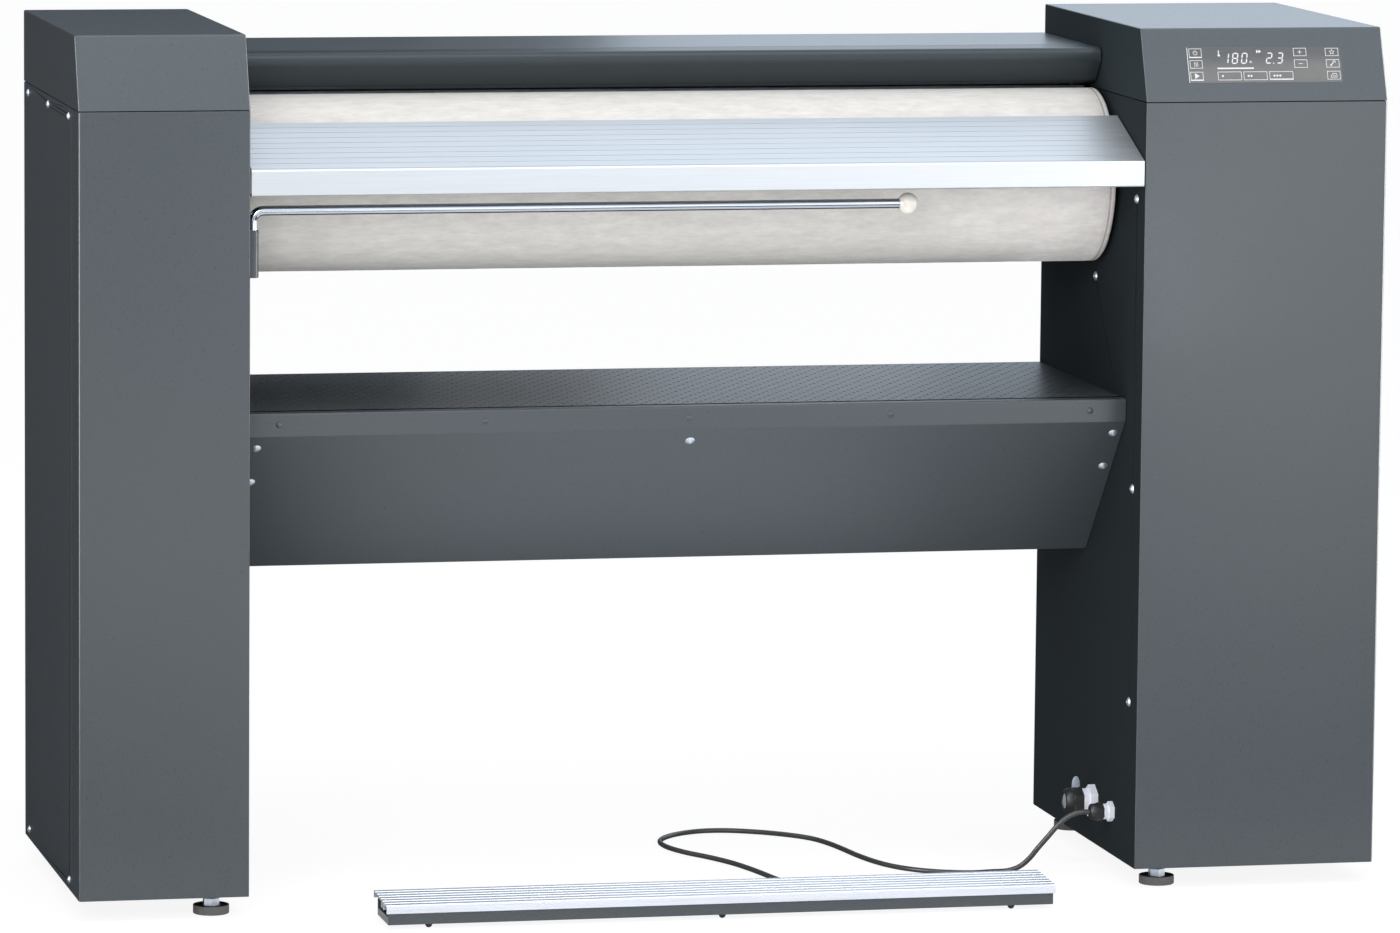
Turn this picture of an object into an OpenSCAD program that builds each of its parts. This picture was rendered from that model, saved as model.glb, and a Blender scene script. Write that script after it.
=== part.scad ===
// Flatwork ironer: a padded roller between two columns turns against a heated trough.
// X runs along the roller, Y from the front to the back, Z up from the floor, in millimetres.
// Pieces are drawn from the front face of the columns, and machine() moves them to the part's origin,
// which is on the floor under the middle of the part.

/* [Overall] */
// Width over both columns
total_w = 1500; // [1300:10:1700]
// Depth of the columns
depth = 445; // [430:5:480]
// Height of the columns' undersides above the floor
ground_gap = 23.5; // [21:0.5:30]
// Sheet thickness of covers and panels
sheet_t = 1.5; // [1:0.25:2]
// Plate thickness of the welded frames
frame_t = 2.5; // [2:0.25:3]
// Gap at a visible seam between two covers
seam = 0.5; // [0.2:0.1:1]

/* [Columns] */
// Width of the left column
left_w = 191; // [170:1:220]
// Width of the right column
right_w = 284.5; // [270:0.5:320]
// Height of the columns up to the joint under the heads
column_h = 879.5; // [860:0.5:900]
// Height of the heads
head_h = 81; // [70:1:95]
// How far the top front edge of a head lies behind its bottom front edge
head_setback = 32.5; // [20:0.5:45]
// Gap of the shadow joint between column and head
joint_gap = 1.2; // [0.8:0.1:2]
// Depth of the front cover's wrap round the outer corner
wrap_d = 57; // [50:1:70]
// Depth of the rear panel's wrap round the outer corner
rear_wrap_d = 28; // [20:1:40]
// Depth of the front cover's hidden inner return
return_d = 46; // [42:1:55]
// Radius of the folded outer corners
fold_r = 3; // [2.2:0.1:5]
// Width of the frame's strips, posts and flanges
strip_w = 25; // [20:1:35]
// Height of the tabs that hold a head on its frame
tab_h = 20; // [15:1:30]
// Width of those tabs
tab_w = 40; // [30:1:60]

/* [Screws and rivets] */
// Diameter of a panel screw's domed head
screw_head_d = 9; // [8:0.5:11]
// Height of a screw's domed head
screw_head_h = 2.4; // [2:0.1:3]
// Diameter of a screw's shank
screw_d = 4; // [3:0.5:5]
// Diameter of the larger screw heads on the inner walls and the apron
large_head_d = 11; // [9:0.5:12]
// Height of the larger screw heads
large_head_h = 3; // [2.4:0.1:3.4]
// Diameter of a tray rivet's head
rivet_d = 7; // [6:0.5:8]
// Height of a tray rivet's head
rivet_h = 1.4; // [1:0.1:2]
// Clearance round a screw in its hole, on the radius
screw_clear = 0.1; // [0.05:0.05:0.3]

/* [Feet] */
// Diameter of a foot's rubber pad
pad_d = 40.5; // [35:0.5:48]
// Height of a foot's rubber pad
pad_h = 10; // [8:0.5:12]
// Width across flats of the foot's hexagon
foot_hex = 17; // [15:1:19]
// Height of the foot's hexagon
foot_hex_h = 8; // [6:0.5:9]
// Diameter of the foot's threaded stem
stem_d = 12; // [10:1:14]
// Distance of the feet from the inner wall and from the front and back
foot_inset = 37; // [33:1:48]
// Length of stem above the base plate
stem_spare = 26; // [22:1:40]

/* [Roller] */
// Distance of the roller's axis behind the columns' front
roller_y = 202.5; // [198:0.5:206]
// Height of the roller's axis above the columns' undersides
roller_h = 780; // [760:1:795]
// Diameter of the padded roller
roller_d = 200.8; // [196:0.2:202]
// Thickness of the padding and cloth on the drum
padding_t = 8.4; // [6:0.2:12]
// Wall of the steel drum
drum_t = 4; // [3:0.5:6]
// Gap between the roller's end and the column wall
roller_end_gap = 5; // [4:0.5:8]
// Diameter of the roller's shaft
shaft_d = 30; // [25:1:35]
// Diameter of the roller's belt pulley
roller_pulley_d = 190; // [160:5:190]

/* [Drive] */
// Height of the motor's axis above the columns' undersides
motor_h = 300; // [260:5:340]
// Diameter of the motor
motor_d = 120; // [100:5:130]
// Length of the motor
motor_l = 175; // [150:5:185]
// Diameter of the motor's shaft
motor_shaft_d = 14; // [12:1:18]
// Diameter of the motor's belt pulley
motor_pulley_d = 40; // [36:2:60]
// Width of both pulleys
pulley_w = 20; // [16:1:24]
// Thickness of the drive belt
belt_t = 4; // [3:0.5:6]

/* [Trough] */
// Gap between the roller's cloth and the trough at rest
press_gap = 0.5; // [0.4:0.1:1]
// Thickness of the trough plate
trough_t = 8; // [6:0.5:9]
// Angle of the trough's feed edge, from straight above the roller towards the back
trough_a0 = 23; // [22:1:30]
// Angle of the trough's discharge edge
trough_a1 = 108; // [100:1:110]
// Diameter of a heater rod
heater_d = 8.5; // [6.5:0.5:9]
// Number of heater rods
heater_n = 5; // [3:1:6]
// Distance of the trough's pivot behind the columns' front
pivot_y = 405; // [398:1:408]
// Height of the trough's pivot above the columns' undersides
pivot_h = 682; // [678:1:690]
// Diameter of the trough's pivot shaft
pivot_d = 20; // [16:1:24]
// Length of the press lever, from pivot to cam
lever_l = 90; // [85:1:100]
// Smallest radius of the press cam
cam_r = 20; // [18:1:22]
// How far the cam's radius grows over half a turn
cam_lift = 7; // [6:0.5:7.5]

/* [Trough cover and finger guard] */
// Height of the cover's top above the columns' undersides
cover_h = 927; // [922:0.5:932]
// Height of the cover's lower edge above the columns' undersides
cover_low_h = 662; // [655:1:668]
// Distance of the cover's front edge behind the columns' front
cover_front_y = 249; // [246:0.5:252]
// Gap between the cover's ends and the walls
cover_end_gap = 2; // [1.5:0.5:4]
// How far the finger guard's nose lies behind the columns' front
nose_y = 188; // [186:0.5:192]
// Radius of the finger guard's nose
nose_r = 7; // [6:0.5:9]
// Sheet thickness of the finger guard
guard_t = 2; // [1.5:0.25:2.5]
// Diameter of the finger guard's hinge pin
guard_pin_d = 5; // [4:0.5:6]

/* [Feed table] */
// Height of the table's front edge above the columns' undersides
table_front_h = 812.5; // [808:0.5:818]
// Height of the table's back edge above the columns' undersides
table_back_h = 855; // [850:0.5:858]
// Depth of the table, from front to back
table_d = 118; // [110:1:120]
// Height of the table's front face
table_lip_h = 29; // [24:1:32]
// Thickness of the table's extrusion
table_t = 2.5; // [2:0.25:3]
// Gap between the table's ends and the walls
table_end_gap = 1.5; // [1:0.25:3]
// Number of grooves along the table's top
groove_n = 9; // [5:1:9]
// Distance between two grooves
groove_pitch = 13.5; // [12:0.5:13.5]
// Width of a groove
groove_w = 1.2; // [0.8:0.1:2]
// Depth of a groove
groove_depth = 0.6; // [0.4:0.1:1]

/* [Laundry rail] */
// Diameter of the rail
rail_d = 11; // [10:0.5:12]
// Distance from the pivot to the ball's centre
rail_l = 748; // [600:1:900]
// Height of the rail's axis above the columns' undersides
rail_h = 765; // [760:1:768]
// Distance of the rail's pivot from the wall
rail_off = 7.2; // [7:0.1:8]
// Distance of the rail's pivot behind the columns' front
rail_y = 32; // [26:1:40]
// Radius of the rail's elbow
elbow_r = 13; // [12:0.5:16]
// Diameter of the ball at the rail's end
ball_d = 24; // [20:1:26]
// Height of the rail's bracket
bracket_h = 53; // [45:1:60]

/* [Laundry shelf and beam] */
// Height of the shelf's top above the columns' undersides
shelf_h = 534.5; // [525:0.5:545]
// Distance of the shelf's front lip behind the columns' front
shelf_front_y = 64; // [60:1:68]
// Height of the shelf's front lip
shelf_lip_h = 26; // [24:1:30]
// Height of the apron's lower edge above the columns' undersides
apron_low_h = 340.5; // [330:0.5:350]
// Distance of the apron's lower edge behind the columns' front
apron_low_y = 226; // [210:1:240]
// Gap between the shelf's ends and the walls
shelf_end_gap = 1; // [0.5:0.25:2]
// Number of rivets in the lip
rivet_n = 5; // [3:2:7]
// Distance of the end rivets from the walls
rivet_inset = 43.25; // [30:0.25:60]
// Height of the cross beam's box section
beam_tube_h = 60; // [50:5:70]
// Depth of the cross beam's box section
beam_tube_d = 40; // [30:5:50]
// Wall of the cross beam's box section
beam_tube_t = 3; // [2:0.5:4]

/* [Control panel] */
// Width of the control glass
glass_w = 181.5; // [160:0.5:200]
// Height of the control glass, measured up the slope
glass_h = 42.3; // [36:0.1:46]
// Distance of the glass from the head's bottom edge, measured up the slope
glass_up = 22; // [18:0.5:26]
// How far the glass stands proud of the sheet
glass_proud = 0.3; // [0.1:0.1:0.5]

/* [Cable glands] */
// Distance of the mains gland behind the columns' front
mains_y = 173; // [160:1:190]
// Distance of the pedal gland behind the columns' front
pedal_gland_y = 96; // [80:1:110]
// Height of both glands above the columns' undersides
gland_h = 51; // [45:1:60]
// Width across flats of the mains gland's flange
mains_af = 33; // [30:0.5:36]
// Length of the mains gland in front of the wall
mains_l = 37; // [34:0.5:42]
// Width across flats of the pedal gland's flange
pedal_af = 21; // [18:0.5:23]
// Length of the pedal gland in front of the wall
pedal_gland_l = 27.5; // [24:0.5:30]

/* [Foot bar] */
// Length of the foot bar's treadle
treadle_l = 766; // [600:2:900]
// Distance of the treadle's middle from the middle of the machine
treadle_x = -38.5; // [-60:0.5:60]
// How far the treadle's front lies in front of the columns
pedal_reach = 102; // [100:1:140]
// Depth of the treadle
treadle_d = 82; // [80:1:90]
// Height of the treadle's front edge above the floor
treadle_front_z = 27; // [26.5:0.5:30]
// Height of the treadle's rear edge above the floor
treadle_rear_z = 30.5; // [30:0.5:33]
// Thickness of the treadle's extrusion
treadle_t = 2.2; // [2:0.1:2.5]
// Height of the treadle's front lip
treadle_lip_h = 9; // [8:0.5:10]
// Height of the studs under the foot bar
stud_h = 5; // [4:0.5:6]
// Depth of the foot bar's base
base_d = 66; // [62:1:70]
// How far the base's ends lie inside the treadle's ends
base_inset = 2; // [1:0.5:4]
// Gap between the treadle's lip and the base
lip_gap = 0.4; // [0.3:0.1:0.8]
// Downward travel of the treadle
treadle_travel = 3; // [2:0.5:3]
// Diameter of the pedal cable
cable_d = 6; // [5:0.5:7]

/* [Hidden] */
$fn = 48;
// Overrun of every cut past the faces that it leaves
over = 1;
// Radial running clearance of shafts in their bearings
run_clear = 0.05;
// Gap between a curved piece and the piece that it lies against
soft_gap = 0.3;

// Main places, worked out from the sizes above
z0 = ground_gap;
xl0 = -total_w / 2;
xl1 = xl0 + left_w;
xr1 = total_w / 2;
xr0 = xr1 - right_w;
gap_w = xr0 - xl1;
zj = z0 + column_h;
zc = zj - joint_gap;
zt = zj + head_h;
front_y = (pedal_reach - depth) / 2;
roller_z = z0 + roller_h;
roller_r = roller_d / 2;
drum_r = roller_r - padding_t;
shaft_r = shaft_d / 2;
roller_x0 = xl1 + roller_end_gap;
roller_x1 = xr0 - roller_end_gap;
head_slope = head_setback / head_h;
head_angle = atan(head_slope);

// Screw places on the outer sides and on the inner walls, from the columns' front and underside
side_screw_inset = 39;
side_screw_front_y = 76;
side_screw_low = 12;
side_screw_high = 10;
side_screw_ys = [side_screw_front_y, (side_screw_front_y + depth - side_screw_inset) / 2,
    depth - side_screw_inset];
wall_screw_y = 34;
wall_screw_hs = [188.5, 434.5, 766.5];
low_screw_drop = 118.5;
low_screw_h = roller_h - low_screw_drop;
shank_l = 6;

// Slots in the inner walls
slot_w = 2;
slot_l = 9;
slot_y = 87.5;
slot_h = 753.5;
long_slot_y = 188;
long_slot_h = 669;
long_slot_l = 32;

// Bearings
bearing_flange_d = 86;
bearing_flange_t = 8;
bearing_hub_d = 52;
bearing_hub_l = 24;
wall_hole_clear = 5;
stub_spare = 6;
drum_disc_t = 6;

// Drive
motor_z = z0 + motor_h;
motor_pulley_r = motor_pulley_d / 2;
roller_pulley_r = roller_pulley_d / 2;
pulley_u = frame_t + bearing_flange_t + bearing_hub_l + 2 * stub_spare;
pulley_flange = 3;
motor_u = pulley_u + pulley_w + 4 * stub_spare;
motor_shaft_in = 40;
motor_rib_n = 24;
motor_rib_h = 4;
motor_rib_w = 2;
motor_foot_t = 6;
motor_foot_w = 110;
belt_steps = 24;
shelf_plate_t = 4;
shelf_plate_d = 140;
gusset_h = 90;

// Trough
trough_r0 = roller_r + press_gap;
trough_r1 = trough_r0 + trough_t;
trough_end_gap = 6;
pivot_z = z0 + pivot_h;
arm_t = 6;
arm_ring = 14;
arm_gap = 3;
arm_a0 = 34;
arm_a1 = 100;
arm_hub_d = 34;
arm_w = 30;
bush_flange_d = 40;
bush_flange_t = 4;
bush_wall = 4;
bush_l = 18;
lever_u = frame_t + bush_flange_t + bush_l + 2;
lever_t = 8;
lever_w = 26;
lever_pad = 5;
cam_gap = 0.5;
cam_y = pivot_y - lever_w / 2 - lever_pad - cam_gap - cam_r;
cam_z = pivot_z + lever_l;
cam_steps = 24;
cam_shaft_d = 10;
press_motor_d = 46;
press_motor_l = 70;
press_flange_t = 4;
press_post_w = 12;
press_post_gap = 3;
lever_share = 1.12;

// Trough cover and finger guard
cover_z = z0 + cover_h;
cover_low_z = z0 + cover_low_h;
cover_x0 = xl1 + cover_end_gap;
cover_x1 = xr0 - cover_end_gap;
cover_rear_y = depth - 2;
cover_return = 55;
cover_lip = 12;
guard_pin_y = cover_front_y + 8;
guard_pin_z = cover_z - 10;
guard_pin_r = guard_pin_d / 2;
guard_ear_r = 6;
guard_nose_z = cover_z - nose_r;
guard_fold_back = 23;
guard_fold_drop = 38.5;
guard_edge_back = 44;
guard_edge_drop = 43;
guard_fold = [nose_y + guard_fold_back, cover_z - guard_fold_drop];
guard_edge = [nose_y + guard_edge_back, cover_z - guard_edge_drop];
guard_neck = 2;
guard_arc_steps = 6;
guard_a0 = 90;
guard_a1 = 217;

// Feed table
table_x0 = xl1 + table_end_gap;
table_x1 = xr0 - table_end_gap;
table_top = [[0, z0 + table_front_h], [table_d, z0 + table_back_h]];
table_slope_a = atan2(table_back_h - table_front_h, table_d);
table_slope_l = table_d / cos(table_slope_a);
table_return = 16;
table_rib_share = [0.42, 0.78];
table_rib_h = 10;
bracket_t = 3;
table_bracket_w = 30;

// Laundry rail
rail_r = rail_d / 2;
rail_x = xl1 + rail_off;
rail_z = z0 + rail_h;
bracket_below = 8.3;
bracket_z1 = rail_z - elbow_r - bracket_below;
bracket_z0 = bracket_z1 - bracket_h;
bracket_wall = 1.6;
bracket_floor = 2;
ball_socket = 8;

// Laundry shelf and beam
shelf_z = z0 + shelf_h;
shelf_x0 = xl1 + shelf_end_gap;
shelf_x1 = xr0 - shelf_end_gap;
lip_z = shelf_z - shelf_lip_h;
rivet_z = lip_z + shelf_lip_h / 2;
apron_low_z = z0 + apron_low_h;
apron_top = [shelf_front_y + 3 * sheet_t / 2, lip_z];
apron_low = [apron_low_y, apron_low_z];
apron_flange_h = 21;
apron_a = atan2(apron_low[1] - apron_top[1], apron_low[0] - apron_top[0]);
apron_return = 25;
apron_screw_along = [20, 79.5];
apron_screw_left = 20;
apron_screw_right = 11;
beam_rear_y = depth - 3;
beam_tube_y = 300;
beam_tube_up = 440;
beam_tube_z = z0 + beam_tube_up;
end_plate_t = 4;
rib_plate_t = 3;

// Control panel
glass_x0 = (right_w - glass_w) / 2;
window_clear = 0.15;
carrier_margin = 8;
carrier_t = 3;
board_t = 8;

// Cable glands: lengths are shares of a gland's length, diameters of its width across flats
gland_z = z0 + gland_h;
flange_share = 0.22;
collar_share = 0.21;
hex_share = 0.33;
collar_d_share = 0.86;
cap_af_share = 0.9;
dome_d_share = 0.62;
thread_share = 0.76;
nut_share = 0.2;
plug_d_share = 0.55;
plug_depth = 3;
tab_w_share = 0.3;
tab_h_share = 0.43;
tab_place_share = 0.57;
tab_t = 4;

// Power unit
power_w = 70;
power_d = 120;
power_h = 220;
power_y = 290;
power_up = 60;
power_wall = 2;

// Foot bar
treadle_x0 = treadle_x - treadle_l / 2;
treadle_x1 = treadle_x + treadle_l / 2;
treadle_y0 = -pedal_reach;
treadle_y1 = treadle_y0 + treadle_d;
treadle_rear_lip = 8;
treadle_rib_share = [0.28, 0.42];
treadle_rib_h = 7;
treadle_ridge_n = 12;
treadle_ridge_h = 0.5;
base_x0 = treadle_x0 + base_inset;
base_x1 = treadle_x1 - base_inset;
base_y0 = treadle_y0 + treadle_t + lip_gap;
base_y1 = base_y0 + base_d;
base_wall_z = treadle_front_z - treadle_t - treadle_travel - 2 * lip_gap;
stud_r_share = 0.8;
stud_r = stud_r_share * stud_h;
stud_inset = 8;
stud_y = base_y0 + stud_inset;
stud_spread_share = 0.436;
stud_spread = stud_spread_share * treadle_l;
stud_rear_y = base_y1 - stud_inset;
base_end_z = treadle_front_z - treadle_t - treadle_rib_h - treadle_travel - 2 * lip_gap;
base_rear_z = base_wall_z + (treadle_rear_z - treadle_front_z) * (base_y1 - treadle_y0) / treadle_d;
buffer_w = 14;
buffer_x = 250;
contact_w = 12;
contact_h = 4;
cable_end_x = 96;
cable_end_z = 13;
grommet_d = 11;
grommet_t = 4;

// Pedal cable's route, from the gland to the foot bar, from the columns' front and the floor
cable_middle = [
    [425, 96, 74], [412, 97, 69], [401, 99, 59], [391, 103, 46],
    [381, 109, 32], [372, 116, 18], [362, 122, 8], [348, 125, 3.2], [328, 122, 3.2],
    [305, 119, 3.2], [280, 126, 3.2], [257, 139, 3.2], [238, 157, 3.2], [222, 182, 3.2],
    [210, 215, 3.2], [201, 255, 3.2], [194, 300, 3.2], [186, 340, 3.2], [174, 373, 3.2],
    [153, 400, 3.2], [122, 425, 3.2], [85, 442, 3.2], [50, 441, 3.2], [16, 420, 3.2],
    [-5, 387, 3.2], [-7, 349, 3.2], [6, 308, 3.2], [28, 268, 3.2], [45, 230, 3.2],
    [57, 190, 3.2], [65, 155, 3.2], [72, 120, 3.2], [82, 80, 3.2], [91, 40, 3.2],
    [95, 10, 6], [96, -12, 11]
];
cable_route = concat([[xr0 - pedal_gland_l, pedal_gland_y, gland_z]], cable_middle,
    [[cable_end_x, base_y1 + grommet_t / 2, cable_end_z]]);
cable_sides = 8;
cable_sub = 2;

// Places and helpers

module machine() translate([0, front_y, 0]) children();

// Column pieces are drawn outwards from the inner wall's face, and stand at either column
module at_right() machine() translate([xr0, 0, 0]) children();
module at_left() machine() translate([xl1, 0, 0]) mirror([1, 0, 0]) children();

module block(low, high) translate(low) cube(high - low);

// Flat shapes in Y and Z, each extruded along X
module along_x(x0, x1) for (i = [0:$children - 1])
    translate([x0, 0, 0]) rotate([90, 0, 90]) linear_extrude(x1 - x0) children(i);

// A round bar along X
module bar_x(x0, x1, y, z, r) along_x(x0, x1) translate([y, z]) circle(r = r);

module tube_x(x0, x1, y, z, r1, r0) {
    along_x(x0, x1) translate([y, z]) difference() {
        circle(r = r1);
        circle(r = r0);
    }
}

// A strip of sheet with round ends between two points of a flat shape
module strip(p, q, t) {
    d = q - p;
    translate(p) rotate(atan2(d[1], d[0])) translate([0, -t / 2]) square([norm(d), t]);
    for (e = [p, q]) translate(e) circle(d = t, $fn = 24);
}

module sheet_path(points, t) for (i = [1:len(points) - 1]) strip(points[i - 1], points[i], t);

// A slice of a disc between two angles, measured from straight up towards the back
module wedge(r, a0, a1) {
    reach = 2 * r;
    polygon(concat([[0, 0]], [for (a = [a0, (a0 + a1) / 2, a1]) reach * [sin(a), cos(a)]]));
}

// A part of a ring round the roller's axis
module roller_ring(r0, r1, a0, a1) {
    translate([roller_y, roller_z]) intersection() {
        difference() {
            circle(r = r1, $fn = 96);
            circle(r = r0, $fn = 96);
        }
        wedge(r1, a0, a1);
    }
}

// A domed screw with its shank, head outwards along +Z, from the surface at zero
module dome_screw(head_d, head_h, shank) {
    r = head_d / 2;
    ball_r = (r * r + head_h * head_h) / (2 * head_h);
    intersection() {
        translate([0, 0, head_h - ball_r]) sphere(r = ball_r);
        cylinder(r = r + over, h = head_h + over);
    }
    translate([0, 0, -shank]) cylinder(d = screw_d, h = shank);
}

// A hexagonal bar along X, by its width across flats
module hex_x(x0, x1, y, z, af) {
    along_x(x0, x1) translate([y, z]) rotate(30) circle(d = af / cos(30), $fn = 6);
}

// Columns

module wall_holes(right) {
    hole_r = screw_d / 2 + screw_clear;
    for (h = wall_screw_hs) bar_x(-over, 3 * frame_t, wall_screw_y, z0 + h, hole_r);
    bar_x(-over, 3 * frame_t, roller_y, z0 + low_screw_h, hole_r);
    bar_x(-over, 3 * frame_t, roller_y, roller_z, shaft_r + wall_hole_clear);
    bar_x(-over, 3 * frame_t, pivot_y, pivot_z, pivot_d / 2 + bush_wall);
    if (right) {
        block([-over, slot_y, z0 + slot_h], [2 * frame_t, slot_y + slot_w, z0 + slot_h + slot_l]);
        block([-over, long_slot_y, z0 + long_slot_h],
            [2 * frame_t, long_slot_y + slot_w, z0 + long_slot_h + long_slot_l]);
        bar_x(-over, 3 * frame_t, mains_y, gland_z, mains_af * thread_share / 2);
        bar_x(-over, 3 * frame_t, pedal_gland_y, gland_z, pedal_af * thread_share / 2);
    }
}

module side_screw_places(w) {
    for (y = side_screw_ys) translate([w, y, zc - side_screw_high]) rotate([0, 90, 0]) children();
    for (y = [side_screw_ys[0], side_screw_ys[2]])
        translate([w, y, z0 + side_screw_low]) rotate([0, 90, 0]) children();
}

module side_holes(w) {
    side_screw_places(w) translate([0, 0, -shank_l - over])
        cylinder(r = screw_d / 2 + screw_clear, h = shank_l + 2 * over);
}

// Welded frame of one column: inner wall, base plate, outer flanges, posts, top strips and head tabs
module column_frame(w, right) {
    u1 = w - sheet_t;
    y0 = sheet_t;
    y1 = depth - sheet_t;
    difference() {
        union() {
            block([0, y0, z0], [frame_t, y1, zc]);
            block([0, y0, z0], [u1, y1, z0 + frame_t]);
            block([u1 - frame_t, y0, z0], [u1, y1, z0 + strip_w]);
            block([u1 - frame_t, y0, zc - strip_w], [u1, y1, zc]);
            for (y = [y0, y1 - strip_w]) {
                block([u1 - frame_t, y, z0], [u1, y + strip_w, zc]);
                block([0, y, zc - frame_t], [u1, y + strip_w, zc]);
            }
            for (y = [wrap_d, depth - wrap_d - tab_w]) {
                block([u1 - frame_t, y, zc - strip_w], [u1, y + tab_w, zj + tab_h]);
                block([sheet_t, y, zc - strip_w], [sheet_t + frame_t, y + tab_w, zj + tab_h]);
            }
            if (right) motor_shelf();
        }
        wall_holes(right);
        side_holes(w);
        for (y = [-over, depth - fold_r])
            block([w - fold_r, y, z0 - over], [w, y + fold_r + over, zc + over]);
        for (y = [foot_inset, depth - foot_inset]) translate([foot_inset, y, z0 - over])
            cylinder(r = stem_d / 2 + run_clear, h = frame_t + 2 * over);
    }
}

// Shelf and gusset that carry the motor, welded to the right wall
module motor_shelf() {
    z = motor_z - motor_d / 2 - motor_foot_t - shelf_plate_t;
    u1 = motor_u + motor_l;
    y0 = roller_y - shelf_plate_d / 2;
    block([0, y0, z], [u1, y0 + shelf_plate_d, z + shelf_plate_t]);
    translate([0, y0 + shelf_plate_t, 0]) rotate([90, 0, 0]) linear_extrude(shelf_plate_t)
        polygon([[0, z + over], [0, z - gusset_h], [u1 / 2, z + over]]);
}

// Front cover: front sheet, folded outer wrap and a return behind the inner wall
module front_cover(w) {
    color("#565d62") difference() {
        translate([0, 0, z0]) linear_extrude(zc - z0) {
            translate([sheet_t, 0]) square([w - fold_r - sheet_t, sheet_t]);
            translate([sheet_t, sheet_t]) intersection() {
                circle(r = sheet_t);
                translate([-sheet_t, -sheet_t]) square(sheet_t);
            }
            translate([w - fold_r, fold_r]) intersection() {
                difference() {
                    circle(r = fold_r);
                    circle(r = fold_r - sheet_t);
                }
                translate([0, -fold_r]) square(fold_r);
            }
            translate([w - sheet_t, fold_r]) square([sheet_t, wrap_d - fold_r]);
            translate([frame_t, 0]) square([sheet_t, return_d]);
        }
        wall_holes(false);
        corner_relief(w);
    }
}

// The return is cut away where the frame's strips and flanges cross it
module corner_relief(w) {
    block([frame_t - over, sheet_t, z0 - over],
        [frame_t + sheet_t + over, return_d + over, z0 + frame_t]);
    block([frame_t - over, sheet_t, zc - strip_w],
        [frame_t + sheet_t + over, return_d + over, zc + over]);
}

module side_panel(w) {
    color("#3b4144") difference() {
        block([w - sheet_t, wrap_d + seam, z0], [w, depth - rear_wrap_d - seam, zc]);
        side_holes(w);
    }
}

module rear_panel(w) {
    color("#3b4144") difference() {
        translate([0, 0, z0]) linear_extrude(zc - z0) {
            translate([0, depth - sheet_t]) square([w - fold_r, sheet_t]);
            translate([w - fold_r, depth - fold_r]) intersection() {
                difference() {
                    circle(r = fold_r);
                    circle(r = fold_r - sheet_t);
                }
                square(fold_r);
            }
            translate([w - sheet_t, depth - rear_wrap_d]) square([sheet_t, rear_wrap_d - fold_r]);
        }
        side_holes(w);
    }
}

// Head cover: a hood with a front that leans back, open underneath
module head_cover(w) {
    t_y = sheet_t / cos(head_angle);
    difference() {
        along_x(0, w) polygon([
            [0, zj], [head_setback, zt], [depth, zt], [depth, zj]
        ]);
        along_x(sheet_t, w - sheet_t) polygon([
            [t_y - head_slope * over, zj - over],
            [t_y + head_slope * (head_h - sheet_t), zt - sheet_t],
            [depth - sheet_t, zt - sheet_t], [depth - sheet_t, zj - over]
        ]);
    }
}

// On the leaning front of the right head: X outwards, Y into the head, Z up the slope
module on_head_front() at_right() translate([0, 0, zj]) rotate([-head_angle, 0, 0]) children();

module left_frame() color("#8a9094") at_left() column_frame(left_w, false);
module right_frame() color("#8a9094") at_right() column_frame(right_w, true);
module left_front_cover() at_left() front_cover(left_w);
module right_front_cover() at_right() front_cover(right_w);
module left_side_panel() at_left() side_panel(left_w);
module right_side_panel() at_right() side_panel(right_w);
module left_rear_panel() at_left() rear_panel(left_w);
module right_rear_panel() at_right() rear_panel(right_w);
module left_head_cover() color("#545b60") at_left() head_cover(left_w);

module right_head_cover() {
    color("#6a7077") difference() {
        at_right() head_cover(right_w);
        on_head_front() block([glass_x0 - window_clear, -over, glass_up - window_clear],
            [glass_x0 + glass_w + window_clear, sheet_t + over, glass_up + glass_h + window_clear]);
    }
}

module side_screws() {
    color("#c5cad2") {
        at_left() side_screw_places(left_w) dome_screw(screw_head_d, screw_head_h, shank_l);
        at_right() side_screw_places(right_w) dome_screw(screw_head_d, screw_head_h, shank_l);
    }
}

module wall_screw_set() {
    for (h = wall_screw_hs) translate([0, wall_screw_y, z0 + h]) rotate([0, -90, 0])
        dome_screw(large_head_d, large_head_h, shank_l);
    translate([0, roller_y, z0 + low_screw_h]) rotate([0, -90, 0])
        dome_screw(large_head_d, large_head_h, shank_l);
}

module wall_screws() {
    color("#c5cad2") {
        at_left() wall_screw_set();
        at_right() wall_screw_set();
    }
}

// Control panel

module control_glass() {
    color("#6f747a") on_head_front() block([glass_x0, -glass_proud, glass_up],
        [glass_x0 + glass_w, sheet_t, glass_up + glass_h]);
}

// Carrier behind the glass, with the touch board and display on its back
module control_board() {
    color("#2e5a3c") on_head_front() {
        block([glass_x0 - carrier_margin, sheet_t, glass_up - carrier_margin],
            [glass_x0 + glass_w + carrier_margin, sheet_t + carrier_t,
                glass_up + glass_h + carrier_margin]);
        block([glass_x0, sheet_t, glass_up],
            [glass_x0 + glass_w, sheet_t + carrier_t + board_t, glass_up + glass_h]);
    }
}

// Laundry shelf and beam

apron_dir = [cos(apron_a), sin(apron_a)];
apron_out = [-sin(apron_a), cos(apron_a)];

// A place on the apron's outer face, by X and by the distance down the slope, Z outwards
module on_apron(x, along) {
    p = apron_top + apron_dir * along - apron_out * sheet_t / 2;
    translate([x, p[0], p[1]]) rotate([180 + apron_a, 0, 0]) children();
}

apron_screw_xs = [xl1 + apron_screw_left, xr0 - apron_screw_right];
apron_screw_mid_x = (apron_screw_xs[0] + apron_screw_xs[1]) / 2;

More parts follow.
